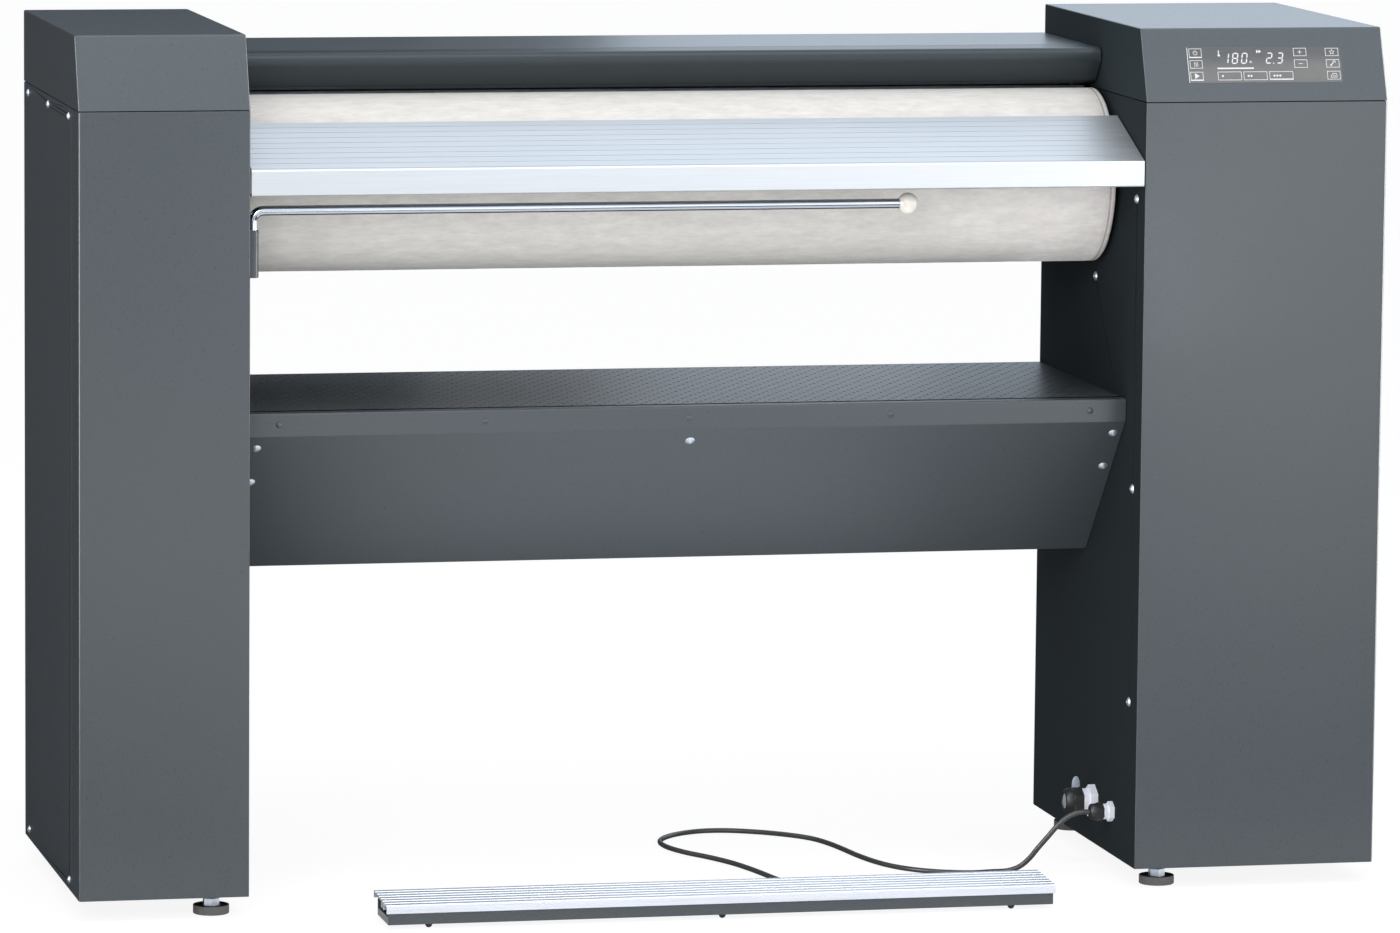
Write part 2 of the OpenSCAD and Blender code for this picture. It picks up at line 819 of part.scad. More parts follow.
module apron_screw_places() {
    for (x = apron_screw_xs, s = apron_screw_along) on_apron(x, s) children();
    on_apron(apron_screw_mid_x, apron_screw_along[0]) children();
}

module apron_holes() {
    apron_screw_places() translate([0, 0, -shank_l - over])
        cylinder(r = screw_d / 2 + screw_clear, h = shank_l + 2 * over);
}

// Ends of the line down the middle of the flanges behind the apron
apron_flange_off = (sheet_t + frame_t) / 2 * apron_out;
apron_line = [apron_top + apron_flange_off + 2 * sheet_t * apron_dir,
    apron_low + apron_flange_off - 2 * sheet_t * apron_dir];

// Section of the beam inside its sheets
module beam_section() {
    top_y = apron_top[0] + sheet_t / 2;
    polygon([
        [top_y, shelf_z - sheet_t], [top_y, lip_z + 2 * sheet_t], apron_line[0], apron_line[1],
        [apron_low[0] + 2 * sheet_t, apron_low_z + sheet_t / 2],
        [beam_rear_y, apron_low_z + sheet_t / 2], [beam_rear_y, shelf_z - sheet_t]
    ]);
}

module rivet_places() {
    pitch = (gap_w - 2 * rivet_inset) / (rivet_n - 1);
    for (i = [0:rivet_n - 1])
        translate([xl1 + rivet_inset + i * pitch, shelf_front_y, rivet_z])
            rotate([90, 0, 0]) children();
}

module laundry_tray() {
    rear_y = beam_rear_y + 2 * sheet_t;
    color("#565c60") machine() difference() {
        union() {
            block([shelf_x0, shelf_front_y, shelf_z - sheet_t], [shelf_x1, rear_y, shelf_z]);
            block([shelf_x0, shelf_front_y, lip_z], [shelf_x1, shelf_front_y + sheet_t, shelf_z]);
            block([shelf_x0, rear_y - sheet_t, lip_z], [shelf_x1, rear_y, shelf_z]);
        }
        rivet_places() translate([0, 0, -2 * sheet_t])
            cylinder(r = screw_d / 2 + screw_clear, h = 3 * sheet_t);
    }
}

module beam_apron() {
    back = apron_low + [apron_return, 0];
    flange = apron_top + [0, apron_flange_h];
    color("#565c60") machine() difference() {
        along_x(shelf_x0, shelf_x1) sheet_path([flange, apron_top, apron_low, back], sheet_t);
        apron_holes();
        rivet_places() translate([0, 0, -3 * sheet_t])
            cylinder(r = screw_d / 2 + screw_clear, h = 3 * sheet_t);
    }
}

module beam_rear_panel() {
    z1 = shelf_z - sheet_t;
    y0 = apron_low[0] + apron_return + sheet_t;
    color("#3b4144") machine() {
        block([shelf_x0, beam_rear_y, apron_low_z - sheet_t / 2], [shelf_x1, beam_rear_y + sheet_t, z1]);
        block([shelf_x0, y0, apron_low_z - sheet_t / 2],
            [shelf_x1, beam_rear_y, apron_low_z + sheet_t / 2]);
    }
}

// Box tube between the walls, with end plates and a middle rib that the sheets are screwed to
module cross_beam() {
    y1 = beam_tube_y + beam_tube_d;
    z1 = beam_tube_z + beam_tube_h;
    color("#8a9094") machine() difference() {
        union() {
            along_x(xl1, xl1 + end_plate_t) beam_section();
            along_x(xr0 - end_plate_t, xr0) beam_section();
            along_x(apron_screw_mid_x + screw_head_d, apron_screw_mid_x + screw_head_d + rib_plate_t)
                beam_section();
            block([xl1, beam_tube_y, beam_tube_z], [xr0, y1, z1]);
            beam_flange(xl1, apron_screw_xs[0] + screw_head_d);
            beam_flange(apron_screw_xs[1] - screw_head_d, xr0);
            beam_flange(apron_screw_mid_x - screw_head_d, apron_screw_mid_x + screw_head_d);
        }
        block([xl1 + end_plate_t, beam_tube_y + beam_tube_t, beam_tube_z + beam_tube_t],
            [xr0 - end_plate_t, y1 - beam_tube_t, z1 - beam_tube_t]);
        apron_holes();
    }
}

// Flange of an end plate or rib that lies behind the apron
module beam_flange(x0, x1) along_x(x0, x1) strip(apron_line[0], apron_line[1], frame_t);

module tray_rivets() {
    color("#565c60") machine() rivet_places() {
        dome_screw(rivet_d, rivet_h, 2 * sheet_t);
    }
}

module apron_screws() {
    color("#c5cad2") machine() apron_screw_places() dome_screw(large_head_d, large_head_h, shank_l);
}

// Trough cover and finger guard

module cover_end_shape() {
    polygon([
        [guard_pin_y - guard_ear_r, guard_pin_z - guard_ear_r],
        [guard_pin_y - guard_ear_r, cover_z - sheet_t / 2],
        [cover_rear_y, cover_z - sheet_t / 2], [cover_rear_y, cover_low_z],
        [cover_rear_y - cover_return, cover_low_z],
        [cover_rear_y - cover_return, cover_low_z + strip_w],
        [pivot_y - strip_w, pivot_z + strip_w],
        [pivot_y - strip_w, guard_pin_z - 2 * strip_w],
        [guard_pin_y + 2 * strip_w, guard_pin_z - guard_ear_r]
    ]);
}

module trough_cover() {
    top_z = cover_z - sheet_t / 2;
    rear = cover_rear_y - sheet_t / 2;
    low_z = cover_low_z + sheet_t / 2;
    hole_r = pivot_d / 2 + bush_wall + soft_gap;
    color("#2f3437") machine() difference() {
        union() {
            along_x(cover_x0, cover_x1) sheet_path([
                [cover_front_y, top_z - cover_lip / 2], [cover_front_y, top_z],
                [rear, top_z], [rear, low_z], [rear - cover_return, low_z]
            ], sheet_t);
            along_x(cover_x0, cover_x0 + sheet_t) cover_end_shape();
            along_x(cover_x1 - sheet_t, cover_x1) cover_end_shape();
            for (x = [xl1, xr0 - cover_end_gap], z = [cover_low_z + strip_w, zc - 2 * strip_w])
                block([x, cover_rear_y - strip_w, z], [x + cover_end_gap, cover_rear_y, z + strip_w]);
        }
        bar_x(cover_x0 - over, cover_x1 + over, pivot_y, pivot_z, hole_r);
        bar_x(cover_x0 - over, cover_x1 + over, guard_pin_y, guard_pin_z, guard_pin_r);
    }
}

module guard_pin() color("#b4b9bd") machine()
    bar_x(cover_x0, cover_x1, guard_pin_y, guard_pin_z, guard_pin_r);

function guard_arc(r) = [
    for (i = [0:guard_arc_steps]) let (a = guard_a0 + i * (guard_a1 - guard_a0) / guard_arc_steps)
        [nose_y + nose_r + r * cos(a), guard_nose_z + r * sin(a)]
];

// Folded guard in front of the feed gap, hung on its pin by an ear at each end
module finger_guard() {
    r = nose_r - guard_t / 2;
    x0 = cover_x0 + sheet_t + soft_gap;
    x1 = cover_x1 - sheet_t - soft_gap;
    back = [cover_front_y - sheet_t - guard_t / 2, guard_nose_z + r];
    color("#2f3437") machine() {
        along_x(cover_x0, cover_x1)
            sheet_path(concat([back], guard_arc(r), [guard_fold, guard_edge]), guard_t);
        for (x = [x0, x1 - guard_t]) along_x(x, x + guard_t) difference() {
            union() {
                translate([guard_pin_y, guard_pin_z]) circle(r = guard_ear_r);
                polygon([
                    [guard_pin_y, guard_pin_z - guard_ear_r], [guard_pin_y, guard_pin_z + guard_neck],
                    [cover_front_y - guard_ear_r, guard_pin_z + guard_neck],
                    [nose_y + nose_r, guard_nose_z + r], [guard_fold[0], guard_fold[1]]
                ]);
            }
            translate([guard_pin_y, guard_pin_z]) circle(r = guard_pin_r + run_clear);
        }
    }
}

// Feed table

module feed_table() {
    a = table_top[0];
    b = table_top[1];
    along = [cos(table_slope_a), sin(table_slope_a)];
    down = [sin(table_slope_a), -cos(table_slope_a)];
    low = a - [0, table_lip_h];
    t = table_t;
    color("#dfe4ee") machine() difference() {
        along_x(table_x0, table_x1) {
            polygon([a, b, b + t * down, a + t * down]);
            polygon([a, a + [t, t * tan(table_slope_a)], low + [t, 0], low]);
            translate(low) square([table_return, t]);
            for (s = table_rib_share) translate(a + s * table_slope_l * along) rotate(table_slope_a)
                translate([0, -t - table_rib_h]) square([t, table_rib_h + t / 2]);
        }
        along_x(table_x0 - over, table_x1 + over) for (i = [1:groove_n])
            translate(b - i * groove_pitch * along) rotate(table_slope_a)
                translate([-groove_w / 2, -groove_depth]) square([groove_w, groove_depth + over]);
    }
}

// Angle brackets on the walls, under the table's two ribs
module table_brackets() {
    down = [sin(table_slope_a), -cos(table_slope_a)];
    along = [cos(table_slope_a), sin(table_slope_a)];
    shares = table_rib_share;
    p = table_top[0] + down * (table_t + table_rib_h) + along * shares[0] * table_slope_l;
    q = table_top[0] + down * (table_t + table_rib_h) + along * shares[1] * table_slope_l;
    foot = down * table_bracket_w;
    color("#8a9094") machine() for (side = [0, 1]) {
        wall_x = side == 0 ? xl1 : xr0 - bracket_t;
        plate_x = side == 0 ? xl1 : xr0 - table_bracket_w;
        along_x(wall_x, wall_x + bracket_t) polygon([p, q, q + foot / 2, p + foot]);
        along_x(plate_x, plate_x + table_bracket_w) polygon([
            p, q, q + down * bracket_t, p + down * bracket_t
        ]);
    }
}

// Laundry rail

module rail_bracket() {
    half = rail_r + run_clear + bracket_wall;
    color("#5b6165") machine() difference() {
        union() {
            block([xl1, rail_y - half, bracket_z0], [rail_x, rail_y + half, bracket_z1]);
            translate([rail_x, rail_y, bracket_z0]) cylinder(r = half, h = bracket_h);
        }
        translate([rail_x, rail_y, bracket_z0 + bracket_floor])
            cylinder(r = rail_r + run_clear, h = bracket_h);
    }
}

module laundry_rail() {
    x1 = rail_x + rail_l - ball_d / 2 + ball_socket;
    leg_z0 = bracket_z0 + bracket_floor + soft_gap;
    color("#aab2bd") machine() {
        bar_x(rail_x + elbow_r, x1, rail_y, rail_z, rail_r);
        translate([rail_x, rail_y, leg_z0]) cylinder(r = rail_r, h = rail_z - elbow_r - leg_z0);
        translate([rail_x + elbow_r, rail_y, rail_z - elbow_r]) rotate([90, 0, 0])
            rotate([0, 0, 90]) rotate_extrude(angle = 90) translate([elbow_r, 0]) circle(r = rail_r);
    }
}

module rail_ball() {
    color("#efece0") machine() translate([rail_x + rail_l, rail_y, rail_z]) rotate([0, 90, 0])
        rotate_extrude() difference() {
            intersection() {
                circle(d = ball_d);
                translate([0, -ball_d / 2]) square([ball_d / 2, ball_d]);
            }
            translate([-over, -ball_d]) square([rail_r + over, ball_d / 2 + ball_socket]);
        }
}

// Roller and its drive

module bearing() {
    u1 = frame_t + bearing_flange_t;
    color("#70767a") difference() {
        union() {
            bar_x(frame_t, u1, roller_y, roller_z, bearing_flange_d / 2);
            bar_x(frame_t, u1 + bearing_hub_l, roller_y, roller_z, bearing_hub_d / 2);
        }
        bar_x(frame_t - over, u1 + bearing_hub_l + over, roller_y, roller_z, shaft_r + run_clear);
    }
}

module left_bearing() at_left() bearing();
module right_bearing() at_right() bearing();

module roller_drum() {
    x0 = xl1 - frame_t - bearing_flange_t - bearing_hub_l - stub_spare;
    x1 = xr0 + pulley_u + pulley_w + stub_spare;
    color("#a5abb0") machine() {
        tube_x(roller_x0, roller_x1, roller_y, roller_z, drum_r, drum_r - drum_t);
        bar_x(roller_x0, roller_x0 + drum_disc_t, roller_y, roller_z, drum_r - drum_t / 2);
        bar_x(roller_x1 - drum_disc_t, roller_x1, roller_y, roller_z, drum_r - drum_t / 2);
        bar_x(x0, x1, roller_y, roller_z, shaft_r);
    }
}

module roller_padding() {
    color("#e4e1da") machine() tube_x(roller_x0, roller_x1, roller_y, roller_z, roller_r, drum_r);
}

// A belt pulley between two flanges
module pulley(r, bore_r, y, z) {
    u1 = pulley_u + pulley_w;
    difference() {
        union() {
            bar_x(pulley_u, u1, y, z, r - belt_t);
            for (u = [pulley_u, u1 - pulley_flange]) bar_x(u, u + pulley_flange, y, z, r + belt_t / 2);
        }
        if (bore_r > 0) bar_x(pulley_u - over, u1 + over, y, z, bore_r);
    }
}

module roller_pulley() color("#4b4f52") at_right() pulley(roller_pulley_r, shaft_r, roller_y, roller_z);

module motor_rotor() {
    color("#b4b9bd") at_right() {
        pulley(motor_pulley_r, 0, roller_y, motor_z);
        bar_x(pulley_u, motor_u + motor_shaft_in, roller_y, motor_z, motor_shaft_d / 2);
    }
}

function arc(y, z, r, a0, a1, n) = [
    for (i = [0:n]) let (a = a0 + i * (a1 - a0) / n) [y + r * cos(a), z + r * sin(a)]
];

// Outline of a belt round both pulleys, at a height above their running faces
module belt_outline(lift) {
    r_top = roller_pulley_r - belt_t + lift;
    r_low = motor_pulley_r - belt_t + lift;
    lean = asin((r_top - r_low) / (roller_z - motor_z));
    polygon(concat(arc(roller_y, roller_z, r_top, -lean, 180 + lean, belt_steps),
        arc(roller_y, motor_z, r_low, 180 + lean, 360 - lean, belt_steps)));
}

module drive_belt() {
    u0 = pulley_u + pulley_flange + soft_gap;
    u1 = pulley_u + pulley_w - pulley_flange - soft_gap;
    color("#1d1e20") at_right() along_x(u0, u1) difference() {
        belt_outline(soft_gap + belt_t);
        belt_outline(soft_gap);
    }
}

// Motor with cooling ribs and feet, standing on the frame's shelf
module drive_motor() {
    low_z = motor_z - motor_d / 2 - motor_foot_t;
    y0 = roller_y - motor_foot_w / 2;
    body_r = motor_d / 2 - motor_rib_h;
    u1 = motor_u + motor_l;
    color("#7d8286") at_right() difference() {
        union() {
            bar_x(motor_u, u1, roller_y, motor_z, body_r);
            for (i = [0:motor_rib_n - 1]) translate([0, roller_y, motor_z])
                rotate([i * 360 / motor_rib_n, 0, 0])
                    block([motor_u + motor_rib_h, -motor_rib_w / 2, body_r - motor_rib_h],
                        [u1 - motor_rib_h, motor_rib_w / 2, motor_d / 2]);
            block([motor_u + strip_w, y0, low_z],
                [u1 - strip_w, y0 + motor_foot_w, low_z + motor_foot_t]);
            for (y = [y0 + motor_foot_t, y0 + motor_foot_w - 2 * motor_foot_t])
                block([motor_u + strip_w, y, low_z], [u1 - strip_w, y + motor_foot_t, motor_z - motor_rib_w]);
        }
        bar_x(motor_u - over, motor_u + motor_shaft_in + over, roller_y, motor_z,
            motor_shaft_d / 2 + run_clear);
    }
}

// Heated trough

trough_x0 = xl1 + trough_end_gap;
trough_x1 = xr0 - trough_end_gap;
arm_x0 = trough_x0 + arm_gap;
arm_x1 = trough_x1 - arm_gap;

module trough_plate() {
    color("#c9ccce") machine() along_x(trough_x0, trough_x1)
        roller_ring(trough_r0, trough_r1, trough_a0, trough_a1);
}

module trough_heaters() {
    r = trough_r1 + soft_gap + heater_d / 2;
    color("#6d6a64") machine() for (i = [0:heater_n - 1]) {
        a = arm_a0 + i * (arm_a1 - arm_a0) / (heater_n - 1);
        bar_x(arm_x0 + arm_t, arm_x1 - arm_t, roller_y + r * sin(a), roller_z + r * cos(a),
            heater_d / 2);
    }
}

// Swing arms on the pivot shaft
module trough_carrier() {
    mid_a = (arm_a0 + arm_a1) / 2;
    r = trough_r1 + arm_ring / 2;
    mid = [roller_y + r * sin(mid_a), roller_z + r * cos(mid_a)];
    low = [roller_y + r * sin(arm_a1 - 5), roller_z + r * cos(arm_a1 - 5)];
    hub = [pivot_y, pivot_z];
    x0 = xl1 - frame_t - bush_flange_t - bush_l;
    x1 = xr0 + lever_u + lever_t + stub_spare;
    color("#8f959a") machine() {
        for (x = [arm_x0, arm_x1 - arm_t]) along_x(x, x + arm_t) {
            roller_ring(trough_r1, trough_r1 + arm_ring, arm_a0, arm_a1);
            polygon([
                mid, low, hub + [-arm_w / 2, -arm_w / 4], hub + [arm_w / 2, arm_w / 4]
            ]);
            translate(hub) circle(d = arm_hub_d);
        }
        bar_x(x0, x1, pivot_y, pivot_z, pivot_d / 2);
    }
}

module trough_bush() {
    difference() {
        union() {
            bar_x(0, frame_t + bush_l, pivot_y, pivot_z, pivot_d / 2 + bush_wall);
            bar_x(frame_t, frame_t + bush_flange_t, pivot_y, pivot_z, bush_flange_d / 2);
        }
        bar_x(-over, frame_t + bush_l + over, pivot_y, pivot_z, pivot_d / 2 + run_clear);
    }
}

module trough_bushes() {
    color("#b08d4f") {
        at_left() trough_bush();
        at_right() trough_bush();
    }
}

// Lever on the pivot shaft, with a flat pad for the cam
module press_lever() {
    hub = [pivot_y, pivot_z];
    tip_z = pivot_z + lever_l * lever_share;
    front = pivot_y - lever_w / 2;
    color("#8f959a") at_right() along_x(lever_u, lever_u + lever_t) difference() {
        union() {
            translate(hub) circle(d = arm_hub_d);
            translate([front, pivot_z]) square([lever_w, tip_z - pivot_z]);
            translate([front - lever_pad, cam_z - lever_w / 2]) square([lever_pad + over, lever_w]);
        }
        translate(hub) circle(r = pivot_d / 2);
    }
}

// Radius of the cam where it meets the lever, after it has turned by an angle
function cam_radius(a) = cam_r + cam_lift * (a <= 180 ? a / 180 : (360 - a) / 180);

module press_cam() {
    points = [for (i = [0:cam_steps - 1]) let (a = i * 360 / cam_steps) cam_radius(a) * [cos(a), -sin(a)]];
    color("#8f959a") at_right() {
        along_x(lever_u, lever_u + lever_t) translate([cam_y, cam_z]) polygon(points);
        bar_x(lever_u, lever_u + lever_t + press_flange_t + stub_spare + motor_shaft_in / 2,
            cam_y, cam_z, cam_shaft_d / 2);
    }
}

// Gear motor that turns the cam, held by three posts on the wall
module press_motor() {
    u0 = lever_u + lever_t + stub_spare;
    post_r = cam_r + cam_lift + press_post_w / 2 + press_post_gap;
    color("#55595c") at_right() difference() {
        union() {
            bar_x(u0, u0 + press_flange_t + press_motor_l, cam_y, cam_z, press_motor_d / 2);
            along_x(u0, u0 + press_flange_t) for (a = [100, 180, 260]) strip([cam_y, cam_z],
                [cam_y + post_r * cos(a), cam_z + post_r * sin(a)], press_post_w);
            for (a = [100, 180, 260]) bar_x(frame_t, u0 + press_flange_t, cam_y + post_r * cos(a),
                cam_z + post_r * sin(a), press_post_w / 2);
        }
        bar_x(u0 - over, u0 + press_flange_t + motor_shaft_in / 2 + over, cam_y, cam_z,
            cam_shaft_d / 2 + run_clear);
    }
}

// Power unit on the base plate of the right column
module power_unit() {
    low = [frame_t, power_y, z0 + power_up];
    high = [frame_t + power_w, power_y + power_d, z0 + power_up + power_h];
    wall = [power_wall, power_wall, power_wall];
    color("#a9adaf") at_right() difference() {
        block(low, high);
        block(low + wall, high - wall);
    }
}

// Cable glands, each drawn by its width across flats, along -X from the right wall

module gland_body(y, af, l) {
    nut = af * nut_share;
    hex_x(xr0 - flange_share * l, xr0, y, gland_z, af);
    bar_x(xr0 - (flange_share + collar_share) * l, xr0, y, gland_z, af * collar_d_share / 2);
    bar_x(xr0 - over, xr0 + frame_t + 2 * nut, y, gland_z, af * thread_share / 2);
    hex_x(xr0 + frame_t, xr0 + frame_t + nut, y, gland_z, af);
}

module gland_cap(y, af, l) {
    r1 = af * cap_af_share / 2;
    r2 = af * dome_d_share / 2;
    x_collar = xr0 - (flange_share + collar_share) * l;
    x_hex = x_collar - hex_share * l;
    hex_x(x_hex, x_collar, y, gland_z, af * cap_af_share);
    translate([x_hex, y, gland_z]) rotate([0, -90, 0])
        cylinder(r1 = r1, r2 = r2, h = l - xr0 + x_hex);
}

module mains_gland_body() color("#d5dae3") machine() gland_body(mains_y, mains_af, mains_l);

// Cap with a blind seat for its plug, and an upright tab on its flat
module mains_gland_cap() {
    half = mains_af * tab_w_share / 2;
    x_mid = xr0 - (flange_share + collar_share + tab_place_share * hex_share) * mains_l;
    top_z = gland_z + mains_af * cap_af_share / 2;
    round_z = top_z + mains_af * tab_h_share - half;
    color("#26282a") machine() {
        difference() {
            gland_cap(mains_y, mains_af, mains_l);
            bar_x(xr0 - mains_l - over, xr0 - mains_l + 2 * plug_depth, mains_y, gland_z,
                mains_af * plug_d_share / 2);
        }
        block([x_mid - half, mains_y - tab_t / 2, top_z - over],
            [x_mid + half, mains_y + tab_t / 2, round_z]);
        translate([x_mid, mains_y + tab_t / 2, round_z]) rotate([90, 0, 0]) cylinder(r = half, h = tab_t);
    }
}

module mains_gland_plug() color("#c3ccda") machine() bar_x(xr0 - mains_l + plug_depth / 3,
    xr0 - mains_l + 2 * plug_depth, mains_y, gland_z, mains_af * plug_d_share / 2);

module pedal_gland_body() color("#d5dae3") machine()
    gland_body(pedal_gland_y, pedal_af, pedal_gland_l);
module pedal_gland_cap() color("#26282a") machine() gland_cap(pedal_gland_y, pedal_af, pedal_gland_l);

// Foot bar

module pedal_base() {
    color("#3f4447") machine() difference() {
        union() {
            block([base_x0, base_y0, stud_h], [base_x1, base_y1, base_wall_z]);
            block([base_x0, base_y1 - sheet_t, stud_h], [base_x1, base_y1, base_rear_z]);
        }
        block([base_x0 + sheet_t, base_y0 + sheet_t, stud_h + sheet_t],
            [base_x1 - sheet_t, base_y1 - sheet_t, base_rear_z + over]);
        block([base_x0 - over, base_y0 + sheet_t, base_end_z],
            [base_x1 + over, base_y1 - sheet_t, base_rear_z + over]);
        translate([cable_end_x, base_y1 + over, cable_end_z]) rotate([90, 0, 0])
            cylinder(d = grommet_d, h = sheet_t + 2 * over);
    }
}

module pedal_studs() {
    color("#1f2122") machine() for (i = [-1:1], y = [stud_y, stud_rear_y])
        translate([treadle_x + i * stud_spread, y, stud_r]) intersection() {
            sphere(r = stud_r);
            translate([-stud_r, -stud_r, -stud_r]) cube([2 * stud_r, 2 * stud_r, stud_h]);
        }
}

module pedal_buffers() {
    z1 = treadle_front_z - treadle_t - treadle_travel - soft_gap;
    y = base_y0 + (treadle_rib_share[0] * treadle_d) / 2;
    color("#1f2122") machine() for (i = [-1:1])
        block([treadle_x + i * buffer_x - buffer_w / 2, y - buffer_w / 2, stud_h + sheet_t],
            [treadle_x + i * buffer_x + buffer_w / 2, y + buffer_w / 2, z1]);
}

// Pressure-sensitive contact strip on the base's floor
module pedal_contact() {
    y = (base_y0 + base_y1) / 2 + contact_w / 2;
    color("#1f2122") machine() block([base_x0 + strip_w, y, stud_h + sheet_t],
        [base_x1 - strip_w, y + contact_w, stud_h + sheet_t + contact_h]);
}

module pedal_grommet() {
    color("#1f2122") machine() translate([cable_end_x, base_y1 + grommet_t / 2, cable_end_z])
        rotate([90, 0, 0]) cylinder(d = grommet_d, h = grommet_t / 2 + sheet_t);
}

// Sloping treadle with a front lip, two ribs, a rear flange and fine ridges along its top
module pedal_treadle() {
    a = [treadle_y0, treadle_front_z];
    b = [treadle_y1, treadle_rear_z];
    t = treadle_t;
    along = (b - a) / norm(b - a);
    ridge = norm(b - a) / treadle_ridge_n;
    color("#cfd5e0") machine() along_x(treadle_x0, treadle_x1) {
        polygon([a, b, b - [0, t], a - [0, t]]);
        polygon([a, a + [t, along[1] * t], a + [t, -treadle_lip_h], a - [0, treadle_lip_h]]);
        polygon([b, b - [t, along[1] * t], b - [t, treadle_rear_lip], b - [0, treadle_rear_lip]]);
        for (s = treadle_rib_share) translate(a + (b - a) * s - [0, t + treadle_rib_h])
            square([t, treadle_rib_h + t / 2]);
        for (i = [0:treadle_ridge_n - 1]) translate(a + along * (i + 1 / 4) * ridge)
            rotate(atan2(along[1], along[0])) translate([0, -t / 2])
                square([ridge / 2, t / 2 + treadle_ridge_h]);
    }
}

// Pedal cable: one tube swept along a smooth curve through the route's points

function curve(p0, p1, p2, p3, t) = 0.5 * (2 * p1 + (p2 - p0) * t
    + (2 * p0 - 5 * p1 + 4 * p2 - p3) * t * t + (3 * p1 - p0 - 3 * p2 + p3) * t * t * t);

function route_point(i) = cable_route[max(0, min(len(cable_route) - 1, i))];

cable_line = concat([
    for (i = [0:len(cable_route) - 2], k = [0:cable_sub - 1])
        curve(route_point(i - 1), route_point(i), route_point(i + 1), route_point(i + 2), k / cable_sub)
], [route_point(len(cable_route) - 1)]);

function unit(v) = v / norm(v);
function line_dir(i) = i == 0 ? [-1, 0, 0] : i == len(cable_line) - 1 ? [0, -1, 0]
    : unit(cable_line[i + 1] - cable_line[i - 1]);

function cable_ring(i) = let (d = line_dir(i), side = unit(cross(d, [0, 0, 1])), up = cross(side, d))
    [for (k = [0:cable_sides - 1]) let (a = k * 360 / cable_sides)
        cable_line[i] + cable_d / 2 * (side * cos(a) + up * sin(a))];

module pedal_cable() {
    n = len(cable_line);
    m = cable_sides;
    points = [for (i = [0:n - 1]) each cable_ring(i)];
    sides = [for (i = [0:n - 2], k = [0:m - 1]) let (k2 = (k + 1) % m) each [
        [i * m + k, i * m + k2, (i + 1) * m + k2], [i * m + k, (i + 1) * m + k2, (i + 1) * m + k]
    ]];
    ends = [[for (k = [0:m - 1]) m - 1 - k], [for (k = [0:m - 1]) (n - 1) * m + k]];
    color("#3a3b3d") machine() polyhedron(points, concat(sides, ends));
}

// Levelling feet

module foot(x, y) {
    stem_top = z0 + frame_t + stem_spare;
    color("#2a2c2e") machine() translate([x, y, 0]) {
        cylinder(d = pad_d, h = pad_h);
        translate([0, 0, pad_h - over]) rotate(30)
            cylinder(d = foot_hex / cos(30), h = foot_hex_h + over, $fn = 6);
        translate([0, 0, pad_h]) cylinder(d = stem_d, h = stem_top - pad_h);
    }
}

left_foot_x = xl1 - foot_inset;
right_foot_x = xr0 + foot_inset;
module foot_front_left() foot(left_foot_x, foot_inset);
module foot_front_right() foot(right_foot_x, foot_inset);
module foot_rear_left() foot(left_foot_x, depth - foot_inset);
module foot_rear_right() foot(right_foot_x, depth - foot_inset);

left_frame();
right_frame();
left_front_cover();
right_front_cover();
left_side_panel();
right_side_panel();
left_rear_panel();
right_rear_panel();
left_head_cover();
right_head_cover();
control_glass();
control_board();
side_screws();
wall_screws();
cross_beam();
laundry_tray();
beam_apron();
beam_rear_panel();
tray_rivets();
apron_screws();
trough_cover();
guard_pin();
finger_guard();
feed_table();
table_brackets();
rail_bracket();
laundry_rail();
rail_ball();
left_bearing();
right_bearing();
roller_drum();
roller_padding();
roller_pulley();
drive_belt();
motor_rotor();
drive_motor();
trough_plate();
trough_heaters();
trough_carrier();
trough_bushes();
press_lever();
press_cam();
press_motor();
power_unit();
mains_gland_body();
mains_gland_cap();
mains_gland_plug();
pedal_gland_body();
pedal_gland_cap();
pedal_base();
pedal_studs();
pedal_buffers();
pedal_contact();
pedal_grommet();
pedal_treadle();
pedal_cable();
foot_front_left();
foot_front_right();
foot_rear_left();
foot_rear_right();
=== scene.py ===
import math

import bmesh
import bpy
from bpy.props import FloatProperty, FloatVectorProperty, IntProperty, PointerProperty
from mathutils import Matrix, Vector, noise


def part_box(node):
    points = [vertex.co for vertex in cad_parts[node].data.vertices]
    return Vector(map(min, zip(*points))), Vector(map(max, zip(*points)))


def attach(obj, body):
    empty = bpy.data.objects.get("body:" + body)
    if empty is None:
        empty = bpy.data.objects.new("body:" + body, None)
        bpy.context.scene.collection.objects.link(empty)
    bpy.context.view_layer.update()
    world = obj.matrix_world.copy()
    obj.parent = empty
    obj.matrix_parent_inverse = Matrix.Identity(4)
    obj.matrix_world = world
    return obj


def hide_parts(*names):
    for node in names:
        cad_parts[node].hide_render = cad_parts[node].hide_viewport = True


bl_info = {
    "name": "Flatwork ironer",
    "version": (1, 0, 0),
    "blender": (4, 5, 0),
    "location": "3D View > Sidebar > Ironer",
    "description": "Finishes, detailed pieces, light and camera for a roller ironer",
    "category": "Object",
}

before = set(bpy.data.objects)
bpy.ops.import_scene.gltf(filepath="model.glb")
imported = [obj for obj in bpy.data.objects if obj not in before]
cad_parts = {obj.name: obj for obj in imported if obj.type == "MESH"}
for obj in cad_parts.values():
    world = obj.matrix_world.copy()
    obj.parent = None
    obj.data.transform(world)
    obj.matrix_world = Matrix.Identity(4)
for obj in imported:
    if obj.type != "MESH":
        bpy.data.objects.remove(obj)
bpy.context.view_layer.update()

# Shapes are worked out in millimetres, and turned to metres where a mesh is made.
MM = 0.001
